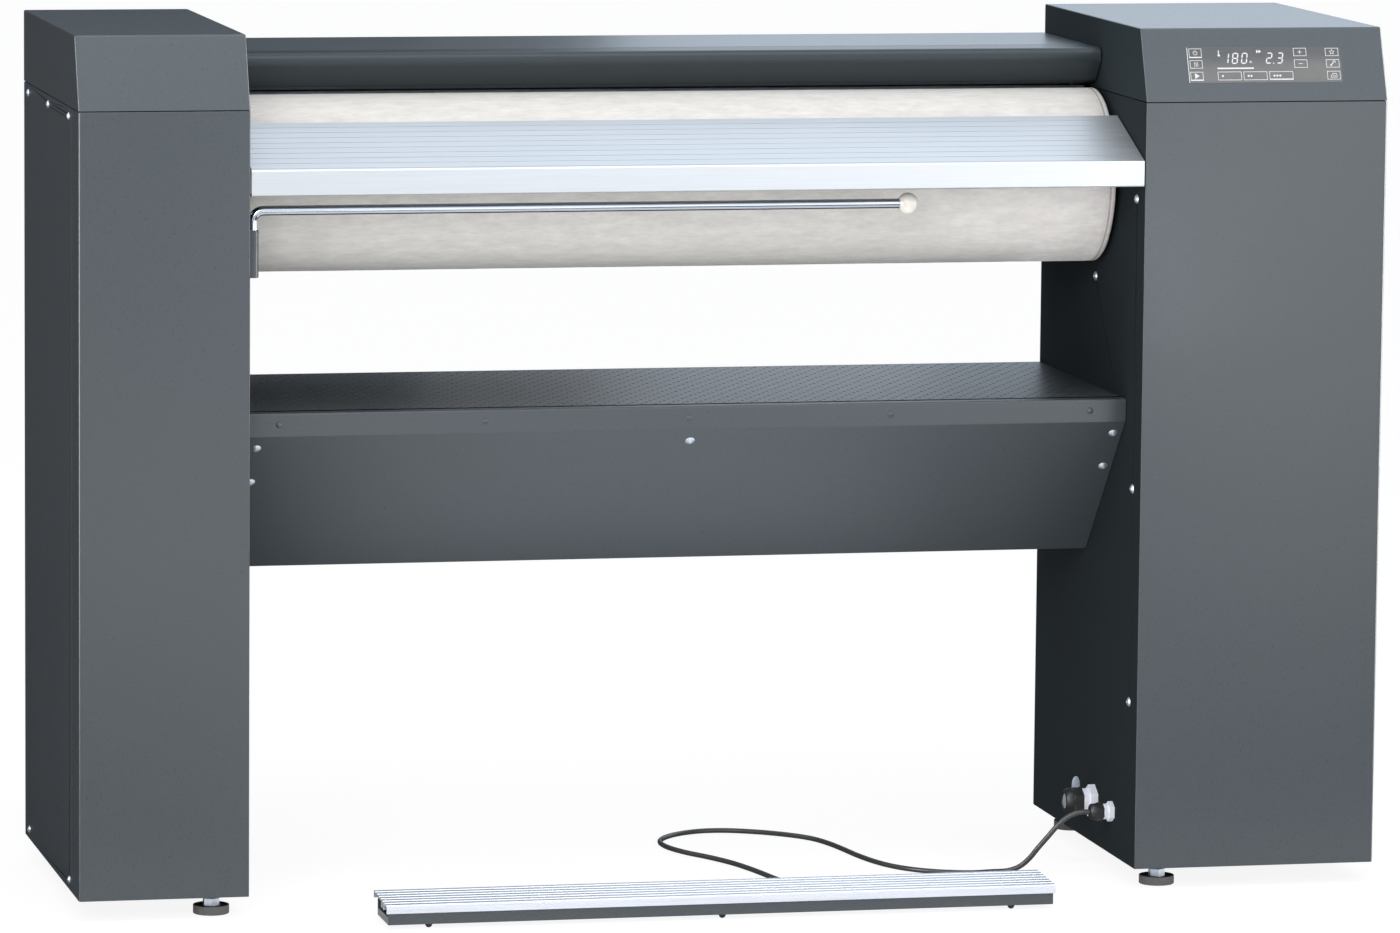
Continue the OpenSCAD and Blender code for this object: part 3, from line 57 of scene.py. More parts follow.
# The columns' front face, and the corners of the right head
FRONT_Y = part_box("right_front_cover")[0].y / MM
HEAD_LOW, HEAD_HIGH = (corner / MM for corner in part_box("right_head_cover"))
# How far a head's front leans back over its height, and the thickness of the folded sheets
HEAD_SETBACK = 32.5
SHEET = 1.5
# Edges flatter than this, in degrees, are shaded smooth and aren't rounded
CREASE = 35
# Points closer than this in metres are one point
SAME_POINT = 1e-6


def linear(code):
    """Turns an sRGB hex colour to the linear one that shaders and lamps take."""
    parts = [int(code[i:i + 2], 16) / 255 for i in (1, 3, 5)]
    return tuple(p / 12.92 if p <= 0.04045 else ((p + 0.055) / 1.055) ** 2.4 for p in parts) + (1,)


def length_property(name, description, default_mm):
    """A size that a user may change, given in millimetres."""
    return FloatProperty(name=name, description=description, default=default_mm * MM, min=0,
                         unit="LENGTH", subtype="DISTANCE")


def colour_property(name, description, code):
    """A colour that a user may change, given as an sRGB hex value."""
    return FloatVectorProperty(name=name, description=description, default=linear(code)[:3],
                               size=3, min=0, max=1, subtype="COLOR")


class IronerSizes(bpy.types.PropertyGroup):
    """Sizes of the details that the plain solids don't have."""
    hood_fold: length_property("Hood fold", "Outer radius of the folds on both heads", 1.7)
    sheet_edge: length_property("Sheet edge", "Rounding of cut sheet edges", 0.35)
    table_fold: length_property("Table nose", "Radius of the feed table's front edge", 2.4)
    hole: length_property("Shelf hole", "Diameter of one hole in the laundry shelf", 4.3)
    hole_pitch: length_property("Hole pitch", "Distance of two neighbouring holes", 16)
    hem: length_property("Hem width", "Width of the hem at each end of the roller's cloth", 8.5)
    felt_wave: length_property("Felt unevenness", "How far the felt's surface dips", 0.35)
    thread: length_property("Foot thread", "Pitch of the thread on the feet", 1.75)
    ink: length_property("Ink height", "How far the printed signs stand off the glass", 0.06)
    temperature: IntProperty(name="Temperature", description="Plain number on the display",
                             default=180, min=0, max=999)
    speed: IntProperty(name="Speed", description="Tenths shown on the display", default=23,
                       min=0, max=99)


class IronerColours(bpy.types.PropertyGroup):
    """Colours of the finishes."""
    coat: colour_property("Powder coat", "Columns, heads, shelf and apron", "#484e52")
    # The finger guard's own black grey, which the heads' inner sides take as painted shade
    dark_coat: colour_property("Dark coat", "Finger guard and heads' inner sides", "#343b3e")
    # The inner walls' black grey, drawn darker as painted shade between the columns
    inner_coat: colour_property("Inner coat", "Columns' inner walls", "#2e3437")
    aluminium: colour_property("Aluminium", "Feed table", "#c8c9ca")
    # Painted reflection: the treadle's aluminium, drawn paler than the feed table's
    pale_aluminium: colour_property("Pale aluminium", "Treadle", "#d9dbe1")
    felt: colour_property("Felt", "Roller's cloth", "#eeebe5")
    hem: colour_property("Hem", "Bands at the ends of the cloth", "#b4b2ad")
    glass: colour_property("Control glass", "Printed back of the glass", "#5a5a5a")
    ink: colour_property("Ink", "Signs on the glass", "#dcdcdc")
    rubber: colour_property("Rubber", "Feet and studs", "#666564")
    sheath: colour_property("Cable", "Sheath of the pedal cable", "#4a4a49")
    light_nylon: colour_property("Light nylon", "Bodies of the cable glands", "#f3f5fb")
    black_nylon: colour_property("Black nylon", "Caps of the cable glands", "#333332")
    ball: colour_property("Ball", "Ball at the end of the laundry rail", "#f4f1e6")


# Finishes

def add_node(tree, kind, sockets=None, **settings):
    """Adds one shader node, sets it up, and fills or links its sockets."""
    node = tree.nodes.new(kind)
    for name, value in settings.items():
        setattr(node, name, value)
    for name, value in (sockets or {}).items():
        if isinstance(value, bpy.types.NodeSocket):
            tree.links.new(value, node.inputs[name])
        else:
            node.inputs[name].default_value = value
    return node


def shade(colour, factor):
    """A lighter or darker tone of a linear colour."""
    return tuple(min(c * factor, 1) for c in colour[:3]) + (1,)


# Nearly all values of a noise pattern lie between these.
NOISE_RANGE = {"From Min": 0.3, "From Max": 0.7}


def surface(name, colour, tone, rough, grain, bump, stretch=(1, 1, 1), detail=2.0, depth=0.0002,
            blotch=None, **sockets):
    """One principled material whose tone, gloss and height follow a grain of a real size.

    colour is linear; tone is how much darker and lighter it goes; rough is the range of
    roughness; grain is the grain's width in millimetres; bump is the strength of its relief and
    depth the relief's height in metres; stretch draws the grain out along an axis; blotch is the
    width in millimetres of a second, slower change of tone.
    """
    material = bpy.data.materials.new(name)
    material.use_nodes = True
    tree = material.node_tree
    shader = tree.nodes["Principled BSDF"]
    place = add_node(tree, "ShaderNodeTexCoord")
    drawn = add_node(tree, "ShaderNodeMapping",
                     {"Vector": place.outputs["Object"], "Scale": stretch})
    fine = add_node(tree, "ShaderNodeTexNoise",
                    {"Vector": drawn.outputs["Vector"], "Scale": 1 / (grain * MM),
                     "Detail": detail, "Roughness": 0.6})
    height = fine.outputs["Fac"]
    mix = height
    if blotch:
        slow = add_node(tree, "ShaderNodeTexNoise",
                        {"Vector": drawn.outputs["Vector"], "Scale": 1 / (blotch * MM),
                         "Detail": 1.0})
        mix = add_node(tree, "ShaderNodeMix",
                       {0: 0.5, 2: fine.outputs["Fac"], 3: slow.outputs["Fac"]}).outputs[0]
    spread = add_node(tree, "ShaderNodeMapRange", {"Value": mix, **NOISE_RANGE})
    tones = add_node(tree, "ShaderNodeMix",
                     {0: spread.outputs["Result"], 6: shade(colour, 1 - tone),
                      7: shade(colour, 1 + tone)}, data_type="RGBA")
    gloss = add_node(tree, "ShaderNodeMapRange",
                     {"Value": height, **NOISE_RANGE, "To Min": rough[0], "To Max": rough[1]})
    relief = add_node(tree, "ShaderNodeBump",
                      {"Height": height, "Strength": bump, "Distance": depth})
    tree.links.new(tones.outputs[2], shader.inputs["Base Color"])
    tree.links.new(gloss.outputs["Result"], shader.inputs["Roughness"])
    tree.links.new(relief.outputs["Normal"], shader.inputs["Normal"])
    for socket, value in sockets.items():
        shader.inputs[socket.replace("_", " ")].default_value = value
    return material


def powder_coat(colours):
    # Polyester powder on steel sheet. The baked powder leaves a fine pebble of about 0.8 mm,
    # drawn three times as coarse so that it shows, and a soft satin light along the faces.
    return surface("powder_coat_anthracite", colours.coat, tone=0.05, rough=(0.27, 0.39),
                   grain=1.8, bump=0.22)


def dark_powder_coat(colours):
    # The same powder in black grey on the finger guard, with two soft bands along its nose.
    return surface("powder_coat_black_grey", colours.dark_coat, tone=0.05, rough=(0.3, 0.42),
                   grain=1.8, bump=0.2, Specular_IOR_Level=0.28)


def inner_head_coat(colours):
    # Painted shade: the heads' inner sides get the guard's darker grey, dead matt, for the shade
    # between the heads.
    # It is even from edge to edge, without a mirrored band.
    return surface("painted_shade_head_grey", colours.dark_coat, tone=0.05, rough=(0.8, 0.9),
                   grain=1.8, bump=0.2, Specular_IOR_Level=0.02)


def inner_wall_coat(colours):
    # Dead matt black grey on the walls that face the roller, drawn darker as painted shade: it
    # mirrors nothing.
    return surface("matt_wall_grey_and_shade", colours.inner_coat, tone=0.05, rough=(0.8, 0.9),
                   grain=1.8, bump=0.2, Specular_IOR_Level=0.02)


def frame_coat(colours):
    # Primed and sprayed steel plate on the welded frames, a little uneven over the welds.
    return surface("sprayed_frame_steel", linear("#3c4246"), tone=0.12, rough=(0.5, 0.7), grain=5,
                   bump=0.4, blotch=60, Specular_IOR_Level=0.3)


def extruded_aluminium(colours):
    # Natural anodised extrusion. The die leaves lines along the length, about 1 mm apart, and
    # the matt anodic layer spreads the light across them.
    return surface("anodised_aluminium", colours.aluminium, tone=0.035, rough=(0.34, 0.46),
                   grain=1.6, bump=0.12, stretch=(0.01, 1, 1), Metallic=0.75)


def pale_aluminium(colours):
    # The treadle's extrusion, drawn paler than the table's as a painted reflection of the white
    # floor, with fine lines.
    return surface("aluminium_painted_bright", colours.pale_aluminium, tone=0.03, rough=(0.34, 0.46),
                   grain=1.6, bump=0.12, stretch=(0.01, 1, 1), Metallic=0.75)


def chromed_steel(colours):
    # Bright chrome on drawn tube: near mirror, with faint drawing lines.
    return surface("chromed_steel", linear("#c9cdd4"), tone=0.03, rough=(0.06, 0.14), grain=3,
                   bump=0.03, stretch=(0.05, 1, 1), Metallic=1.0)


def zinc_plate(colours):
    # Zinc-plated hexagons, threads and brackets: pale, slightly cloudy metal.
    return surface("zinc_plated_steel", linear("#c3c9d1"), tone=0.08, rough=(0.28, 0.42), grain=6,
                   bump=0.1, blotch=14, Metallic=1.0)


def bright_zinc(colours):
    # Blue-passivated zinc on screw heads: soft gloss that still catches a point of light.
    return surface("bright_zinc_plate", linear("#d5dce6"), tone=0.04, rough=(0.32, 0.42), grain=3,
                   bump=0.05, Metallic=0.7)


def turned_steel(colours):
    # Turned shafts, drum and levers: fine rings from the tool and an oily grey.
    return surface("turned_steel", linear("#9a9fa3"), tone=0.06, rough=(0.25, 0.4), grain=1.2,
                   bump=0.15, stretch=(1, 0.1, 0.1), Metallic=1.0)


def cast_aluminium(colours):
    # Sand-cast aluminium of the trough and motor housings, with a 3 mm skin grain.
    return surface("cast_aluminium", linear("#a7abae"), tone=0.08, rough=(0.4, 0.55), grain=3,
                   bump=0.5, Metallic=1.0, depth=0.0004)


def cast_iron(colours):
    # Grey iron of the pulleys and bearing blocks, painted thinly over a rough skin.
    return surface("cast_iron", linear("#4e5357"), tone=0.1, rough=(0.5, 0.7), grain=3, bump=0.6,
                   depth=0.0004, Metallic=0.4)


def sintered_bronze(colours):
    # Porous bronze bushes, warm and matt.
    return surface("sintered_bronze", linear("#a9864c"), tone=0.08, rough=(0.35, 0.5), grain=1.5,
                   bump=0.3, Metallic=1.0)


def needle_felt(colours):
    # Polyester needle felt. Loose fibres of some 10 to 20 mm lie mostly along the roller, so the
    # surface is matt, mottled and faintly streaked, with a soft rim of light.
    return surface("needle_felt", colours.felt, tone=0.1, rough=(0.9, 1.0), grain=3.2, bump=0.8,
                   stretch=(0.3, 1, 1), detail=6.0, depth=0.0008, blotch=9, Sheen_Weight=0.25,
                   Sheen_Roughness=0.5, Specular_IOR_Level=0.15)


def hem_tape(colours):
    # Woven tape sewn over the cloth's ends: flatter and greyer than the felt.
    return surface("hem_tape", colours.hem, tone=0.06, rough=(0.85, 0.95), grain=1.6, bump=0.5,
                   stretch=(1, 0.4, 0.4), Specular_IOR_Level=0.2)


def moulded_rubber(colours):
    # Moulded rubber of feet, studs and belt: dead matt with a fine bloom.
    return surface("moulded_rubber", colours.rubber, tone=0.1, rough=(0.6, 0.8), grain=2,
                   bump=0.25, Specular_IOR_Level=0.4)


def dark_rubber(colours):
    # Black rubber of the pedal's studs, buffers, contact and grommet; on the pads' dished tops,
    # smoother than their sides, its black is painted shade.
    return surface("rubber_black_and_pad_shade", linear("#1c1d1e"), tone=0.1, rough=(0.5, 0.65), grain=2,
                   bump=0.2)


def cable_sheath(colours):
    # Extruded PVC sheath: smooth, slightly shiny along its length.
    return surface("pvc_sheath", colours.sheath, tone=0.06, rough=(0.3, 0.4), grain=2.5,
                   bump=0.15)


def light_nylon(colours):
    # Near white moulded nylon of the gland bodies, with a painted glow that makes it look brightly
    # lit.
    return surface("near_white_nylon", colours.light_nylon, tone=0.03, rough=(0.35, 0.5), grain=2,
                   bump=0.12, Emission_Color=linear("#e4ecff"), Emission_Strength=0.14)


def plug_nylon(colours):
    # Blue-grey moulded nylon of the plug and of the small upright tab.
    return surface("blue_grey_nylon", linear("#aeb8c6"), tone=0.03, rough=(0.35, 0.5), grain=2,
                   bump=0.12)


def black_nylon(colours):
    # Black moulded nylon of the gland caps: satin, with brighter edges.
    return surface("black_nylon", colours.black_nylon, tone=0.08, rough=(0.32, 0.45), grain=2,
                   bump=0.15)


def ball_resin(colours):
    # Turned and polished resin ball: warm white with a small sharp highlight.
    return surface("polished_resin", colours.ball, tone=0.015, rough=(0.12, 0.2), grain=5,
                   bump=0.02, Subsurface_Weight=0.15, Subsurface_Scale=0.004)


def control_glass(colours):
    # Float glass printed grey on its back: a flat mirror gloss over an even tone.
    return surface("back_printed_glass", colours.glass, tone=0.01, rough=(0.02, 0.04), grain=8,
                   bump=0.0, IOR=1.52)


def glass_ink(colours):
    # White ceramic ink and lit segments behind the glass, all glowing a little: real light from
    # the segments, a painted glow on the ink.
    return surface("white_ink", colours.ink, tone=0.02, rough=(0.25, 0.35), grain=2, bump=0.0,
                   Emission_Color=(*colours.ink, 1), Emission_Strength=0.1)


def dark_ink(colours):
    # Small dark marks on the coat: weld spots under the paint, and a painted shadow ring round
    # each rivet.
    return surface("dark_spot_and_shadow", linear("#3a4045"), tone=0.05, rough=(0.5, 0.6), grain=2, bump=0.0)


def circuit_board(colours):
    # Green solder resist over glass fibre, with the weave just showing.
    return surface("solder_resist", linear("#24523a"), tone=0.12, rough=(0.3, 0.4), grain=1.2,
                   bump=0.2)


# The finishes that are made already, by their recipe
made = {}


def finish(context, recipe):
    """Each finish is made once, from the colours as they are then."""
    if recipe not in made:
        made[recipe] = recipe(context.scene.ironer_colours)
    return made[recipe]


# Shapes

# A corner is left as it is where half its opening is nearly a right angle, and a rounding
# takes at most this share of the line on each side of its corner.
STRAIGHT = math.radians(89.5)
ROUNDING_SHARE = 0.49
# The outer corner of a folded sheet is drawn out to no more than twice its thickness.
LEAST_MITRE = 0.5
# Chamfer of a nut, in millimetres and as the share that its ends narrow to
NUT_CHAMFER, NUT_END_SHARE = 0.9, 0.93


def fillet(line, radius, steps, closed=False):
    """Rounds the corners of a flat line. radius is one number, or one for each corner."""
    out = []
    last = len(line) - 1
    for i, p in enumerate(line):
        r = radius[i] if isinstance(radius, (list, tuple)) else radius
        if r <= 0 or (not closed and i in (0, last)):
            out.append(p.copy())
            continue
        back = line[i - 1] - p
        ahead = line[(i + 1) % len(line)] - p
        half = back.angle(ahead) / 2
        if half > STRAIGHT:
            out.append(p.copy())
            continue
        reach = min(r / math.tan(half), ROUNDING_SHARE * back.length,
                    ROUNDING_SHARE * ahead.length)
        start = p + back.normalized() * reach
        end = p + ahead.normalized() * reach
        middle = p + (back.normalized() + ahead.normalized()).normalized() * reach / math.cos(half)
        a0 = math.atan2(start.y - middle.y, start.x - middle.x)
        turn = math.atan2(end.y - middle.y, end.x - middle.x) - a0
        turn = (turn + math.pi) % (2 * math.pi) - math.pi
        size = (start - middle).length
        for k in range(steps + 1):
            a = a0 + turn * k / steps
            out.append(middle + size * Vector((math.cos(a), math.sin(a))))
    return out


def flat(*pairs):
    """Pairs of Y and Z as flat points."""
    return [Vector(p) for p in pairs]


def sheet_outline(line, t):
    """The outline of a sheet of thickness t that follows a flat line."""
    left, right = [], []
    for i, p in enumerate(line):
        before = (p - line[i - 1]).normalized() if i else (line[1] - p).normalized()
        after = (line[i + 1] - p).normalized() if i < len(line) - 1 else before
        along = (before + after).normalized()
        side = Vector((-along.y, along.x)) * t / 2
        side /= max(side.normalized().dot(Vector((-before.y, before.x))), LEAST_MITRE)
        left.append(p + side)
        right.append(p - side)
    return left + right[::-1]


def place_points(bm, points):
    """Points in millimetres as new corners of a mesh."""
    return [bm.verts.new(Vector(p) * MM) for p in points]


def extrude(bm, outline, x0, x1):
    """Draws a flat outline in Y and Z along X, with closed ends."""
    ends = [place_points(bm, [(x, p.x, p.y) for p in outline]) for x in (x0, x1)]
    n = len(outline)
    for i in range(n):
        j = (i + 1) % n
        bm.faces.new((ends[0][i], ends[0][j], ends[1][j], ends[1][i]))
    bm.faces.new(ends[0][::-1])
    bm.faces.new(ends[1])


def lathe(bm, profile, place, steps, index=0):
    """Turns a line of (radius, height) round the Z axis of a placing matrix."""
    rings = []
    for r, h in profile:
        turns = [0] if r == 0 else [2 * math.pi * k / steps for k in range(steps)]
        rings.append(place_points(bm, [place @ Vector((r * math.cos(a), r * math.sin(a), h))
                                       for a in turns]))
    for low, high in zip(rings, rings[1:]):
        for k in range(steps):
            corners = []
            for ring, i in ((low, k), (low, k + 1), (high, k + 1), (high, k)):
                vert = ring[i % len(ring)]
                if vert not in corners:
                    corners.append(vert)
            if len(corners) > 2:
                bm.faces.new(corners).material_index = index


def hexagon(bm, place, flats, z0, z1):
    """A hexagonal prism along a placing matrix's Z axis, with chamfers at both ends."""
    reach = flats / math.cos(math.pi / 6) / 2
    turns = [math.pi / 6 + math.pi / 3 * k for k in range(6)]
    rings = []
    for z, share in ((z0, NUT_END_SHARE), (z0 + NUT_CHAMFER, 1), (z1 - NUT_CHAMFER, 1),
                     (z1, NUT_END_SHARE)):
        rings.append(place_points(bm, [place @ Vector((
            reach * share * math.cos(a), reach * share * math.sin(a), z)) for a in turns]))
    for a, b in zip(rings, rings[1:]):
        for k in range(6):
            m = (k + 1) % 6
            bm.faces.new((a[k], a[m], b[m], b[k]))
    bm.faces.new(rings[0][::-1])
    bm.faces.new(rings[-1])


def tube(bm, line, radius, sides):
    """Sweeps a circle along a line of points, and closes both ends."""
    side = (line[1] - line[0]).cross(Vector((0, 0, 1)))
    if side.length < SAME_POINT:
        side = Vector((0, 1, 0))
    rings = []
    for i, p in enumerate(line):
        along = (line[min(i + 1, len(line) - 1)] - line[max(i - 1, 0)]).normalized()
        side = (side - along * side.dot(along)).normalized()
        up = along.cross(side)
        rings.append(place_points(bm, [
            p + radius * (side * math.cos(a) + up * math.sin(a))
            for a in (2 * math.pi * k / sides for k in range(sides))]))
    for low, high in zip(rings, rings[1:]):
        for k in range(sides):
            j = (k + 1) % sides
            bm.faces.new((low[k], low[j], high[j], high[k]))
    bm.faces.new(rings[0][::-1])
    bm.faces.new(rings[-1])


def grow(name, bm, context, recipes, body, slot, *nodes, crease=CREASE, even=False):
    """Puts a finished mesh in the scene, in its finishes, on its body, for its solids.

    even keeps wide flat faces flat beside the narrow faces of their rounded edges.
    """
    bmesh.ops.recalc_face_normals(bm, faces=bm.faces)
    mesh = bpy.data.meshes.new(name)
    bm.to_mesh(mesh)
    bm.free()
    for recipe in recipes:
        mesh.materials.append(finish(context, recipe))
    mesh.shade_smooth()
    mesh.set_sharp_from_angle(angle=math.radians(crease))
    piece = bpy.data.objects.new(name, mesh)
    context.scene.collection.objects.link(piece)
    if even:
        piece.modifiers.new("flat faces", "WEIGHTED_NORMAL").keep_sharp = True
    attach(piece, body)
    if nodes:
        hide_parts(*nodes)
    return piece


def dress(context, recipe, *nodes, edge=None):
    """Gives solids that stay their finish, and rounds their cut edges."""
    width = context.scene.ironer_sizes.sheet_edge if edge is None else edge * MM
    for name in nodes:
        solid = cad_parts[name]
        for slot in solid.material_slots:
            slot.material = finish(context, recipe)
        mesh = solid.data
        if "custom_normal" in mesh.attributes:
            mesh.attributes.remove(mesh.attributes["custom_normal"])
        mesh.shade_smooth()
        weld = solid.modifiers.new("joined faces", "WELD")
        weld.merge_threshold = SAME_POINT
        bevel = solid.modifiers.new("rounded edges", "BEVEL")
        bevel.width = width
        bevel.segments = 2
        bevel.limit_method = "ANGLE"
        bevel.angle_limit = math.radians(CREASE)
        bevel.use_clamp_overlap = False
        bevel.harden_normals = True


def box(node):
    """Lowest and highest corner of a solid, in millimetres."""
    return [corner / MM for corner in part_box(node)]


def islands(node):
    """The points of each separate solid of a node, in millimetres."""
    bm = bmesh.new()
    bm.from_mesh(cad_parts[node].data)
    bmesh.ops.remove_doubles(bm, verts=bm.verts, dist=SAME_POINT)
    found, seen = [], set()
    for first in bm.verts:
        if first in seen:
            continue
        group, todo = [], [first]
        seen.add(first)
        while todo:
            vert = todo.pop()
            group.append(vert.co / MM)
            for edge in vert.link_edges:
                other = edge.other_vert(vert)
                if other not in seen:
                    seen.add(other)
                    todo.append(other)
        found.append(group)
    bm.free()
    return found


# How far the apron is folded back under the beam, in millimetres
APRON_RETURN = 25


def apron_line():
    """The top and the foot of the apron's slope, in Y and Z, in the middle of the sheet."""
    low, high = box("beam_apron")
    shelf_low = box("laundry_tray")[0]
    return (Vector((low.y + SHEET / 2, shelf_low.z)),
            Vector((high.y - APRON_RETURN, low.z + SHEET / 2)))


def facing(origin, outward):
    """A placing matrix at origin with its Z axis outward."""
    z = outward.normalized()
    x = Vector((0, 0, 1)).cross(z)
    x = x.normalized() if x.length > SAME_POINT else Vector((1, 0, 0))
    return Matrix.Translation(origin) @ Matrix((x, z.cross(x), z)).transposed().to_4x4()


class IronerOperator:
    """What all of the part's operators share."""
    bl_options = {"REGISTER", "UNDO"}


# Stage

# Where the picture is taken from: place in metres, and turn, dip and tilt in radians
EYE = Vector((-1.9453, -8.5890, 1.5971))
EYE_TURN, EYE_DIP, EYE_TILT = 0.22167, 0.12673, 0.00934
# Lens and sensor in millimetres, and how far the camera sees in metres
LENS, SENSOR, SIGHT = 199.39, 36, 200
# The paper floor: half its width, and how far it lies under the feet, in metres
FLOOR_HALF, FLOOR_DROP = 40, 0.0004
# Strength of the sky as a light, and as what the object mirrors
SKY_LIGHT, SKY_MIRRORED = 0.43, 1.65
# Strength of the floor's own white, and its share where the floor is looked at and where it
# only throws light back
PAPER_WHITE, PAPER_SEEN, PAPER_BOUNCE = 1.15, 0.78, 0.3

# Soft lamps: place, what they look at, width and height in metres, power in watts, colour, and
# for a lamp that only adds light the width of its beam in degrees
LAMPS = {
    "front lamp": ((1.340, -2.749, 2.502), (0.549, -0.996, 1.953), 0.9, 0.4, 3.3, "#fffdf8"),
    "top lamp": ((0.3, -1.3, 3.6), (0, 0, 0.6), 2.4, 1.6, 41, "#fbfcff"),
    "left lamp": ((-1.6, -3.5, 2.1), (0, 0, 0.5), 1.6, 1.4, 46, "#fffefb"),
    "right lamp": ((1.62, -3.1, 0.6), (1.62, 0, 0.6), 1.25, 1.1, 11.3, "#fbfcff"),
    "middle lamp": ((0.47, -3.1, 0.77), (0.47, 0, 0.77), 1.05, 0.7, 2.6, "#e6eeff"),
    "low lamp": ((-0.3, -2.2, 0.12), (-0.3, 0, 0.35), 1.2, 0.25, 2.3, "#ffffff"),
    "apron lamp": ((-0.08, -0.1, 0.03), (-0.08, -0.09, 0.5), 0.7, 0.12, 0.55, "#ffffff", 70),
    "felt lamp": ((0.66, -3.1, 0.4), (0.45, 0, 0.74), 0.12, 0.12, 0.05, "#ffffff", 7),
}
# Paper cards, seen only in reflections: colour, and the corners of each card in metres
CARDS = {
    "dark_cards": ("#464646", (
        ((-6, 2.9, 0), (0.5, 2.9, 0), (0.5, 2.9, 3.2), (-6, 2.9, 3.2)),
        ((-6, -0.12, 0.001), (0.46, -0.12, 0.001), (0.5, 2.9, 0.001), (-6, 2.9, 0.001)),
        ((-2, -0.5, 0.001), (-0.4, -0.5, 0.001), (-0.4, -2.2, 0.001), (-2, -1.7, 0.001)),
        ((0.5, -0.5, 0.001), (2, -0.5, 0.001), (2, -2.7, 0.001), (0.5, -2.4, 0.001)),
        ((-0.4, -1.3, 0.001), (0.5, -1.3, 0.001), (0.5, -2.4, 0.001), (-0.4, -2.2, 0.001)),
    )),
    "grey_card": ("#c4c4c4", (
        ((0.2, 2.88, 0), (1.0, 2.88, 0), (1.0, 2.88, 1.12), (0.2, 2.88, 1.12)),
    )),
    "dim_card": ("#2c2c2c", (
        ((1.0, 2.9, 0), (4, 2.9, 0), (4, 2.9, 1.12), (1.0, 2.9, 1.12)),
    )),
    "blue_card": ("#5c6a80", (
        ((-0.8, -3.15, 0.35), (0.1, -3.15, 0.35), (0.1, -3.15, 1.05), (-0.8, -3.15, 1.05)),
    )),
}
# Bright strips draw a thin line of light along upright folds, and the lower part of the control
# glass mirrors the bright card: strength, and the corners of each card in metres.
BRIGHT_CARDS = {
    "edge_strips": (15, (
        ((2.2, -0.9, 0), (2.2, 0.3, 0), (2.2, 0.3, 2.2), (2.2, -0.9, 2.2)),
        ((-2.4, -1.2, 0), (-2.4, -0.3, 0), (-2.4, -0.3, 2.2), (-2.4, -1.2, 2.2)),
    )),
    "glass_card": (3.7, (
        ((2.959, -6.703, 6.297), (3.359, -6.696, 6.314), (3.359, -6.722, 6.249),
         (2.959, -6.722, 6.249)),
    )),
}


def eye_matrix():
    """Where the camera stands and how it is turned."""
    forward = Vector((math.sin(EYE_TURN) * math.cos(EYE_DIP),
                      math.cos(EYE_TURN) * math.cos(EYE_DIP), -math.sin(EYE_DIP)))
    right = Vector((math.cos(EYE_TURN), -math.sin(EYE_TURN), 0))
    up = right.cross(forward)
    across = math.cos(EYE_TILT) * right + math.sin(EYE_TILT) * up
    upward = math.cos(EYE_TILT) * up - math.sin(EYE_TILT) * right
    turn = Matrix((across, upward, -forward)).transposed().to_4x4()
    return Matrix.Translation(EYE) @ turn


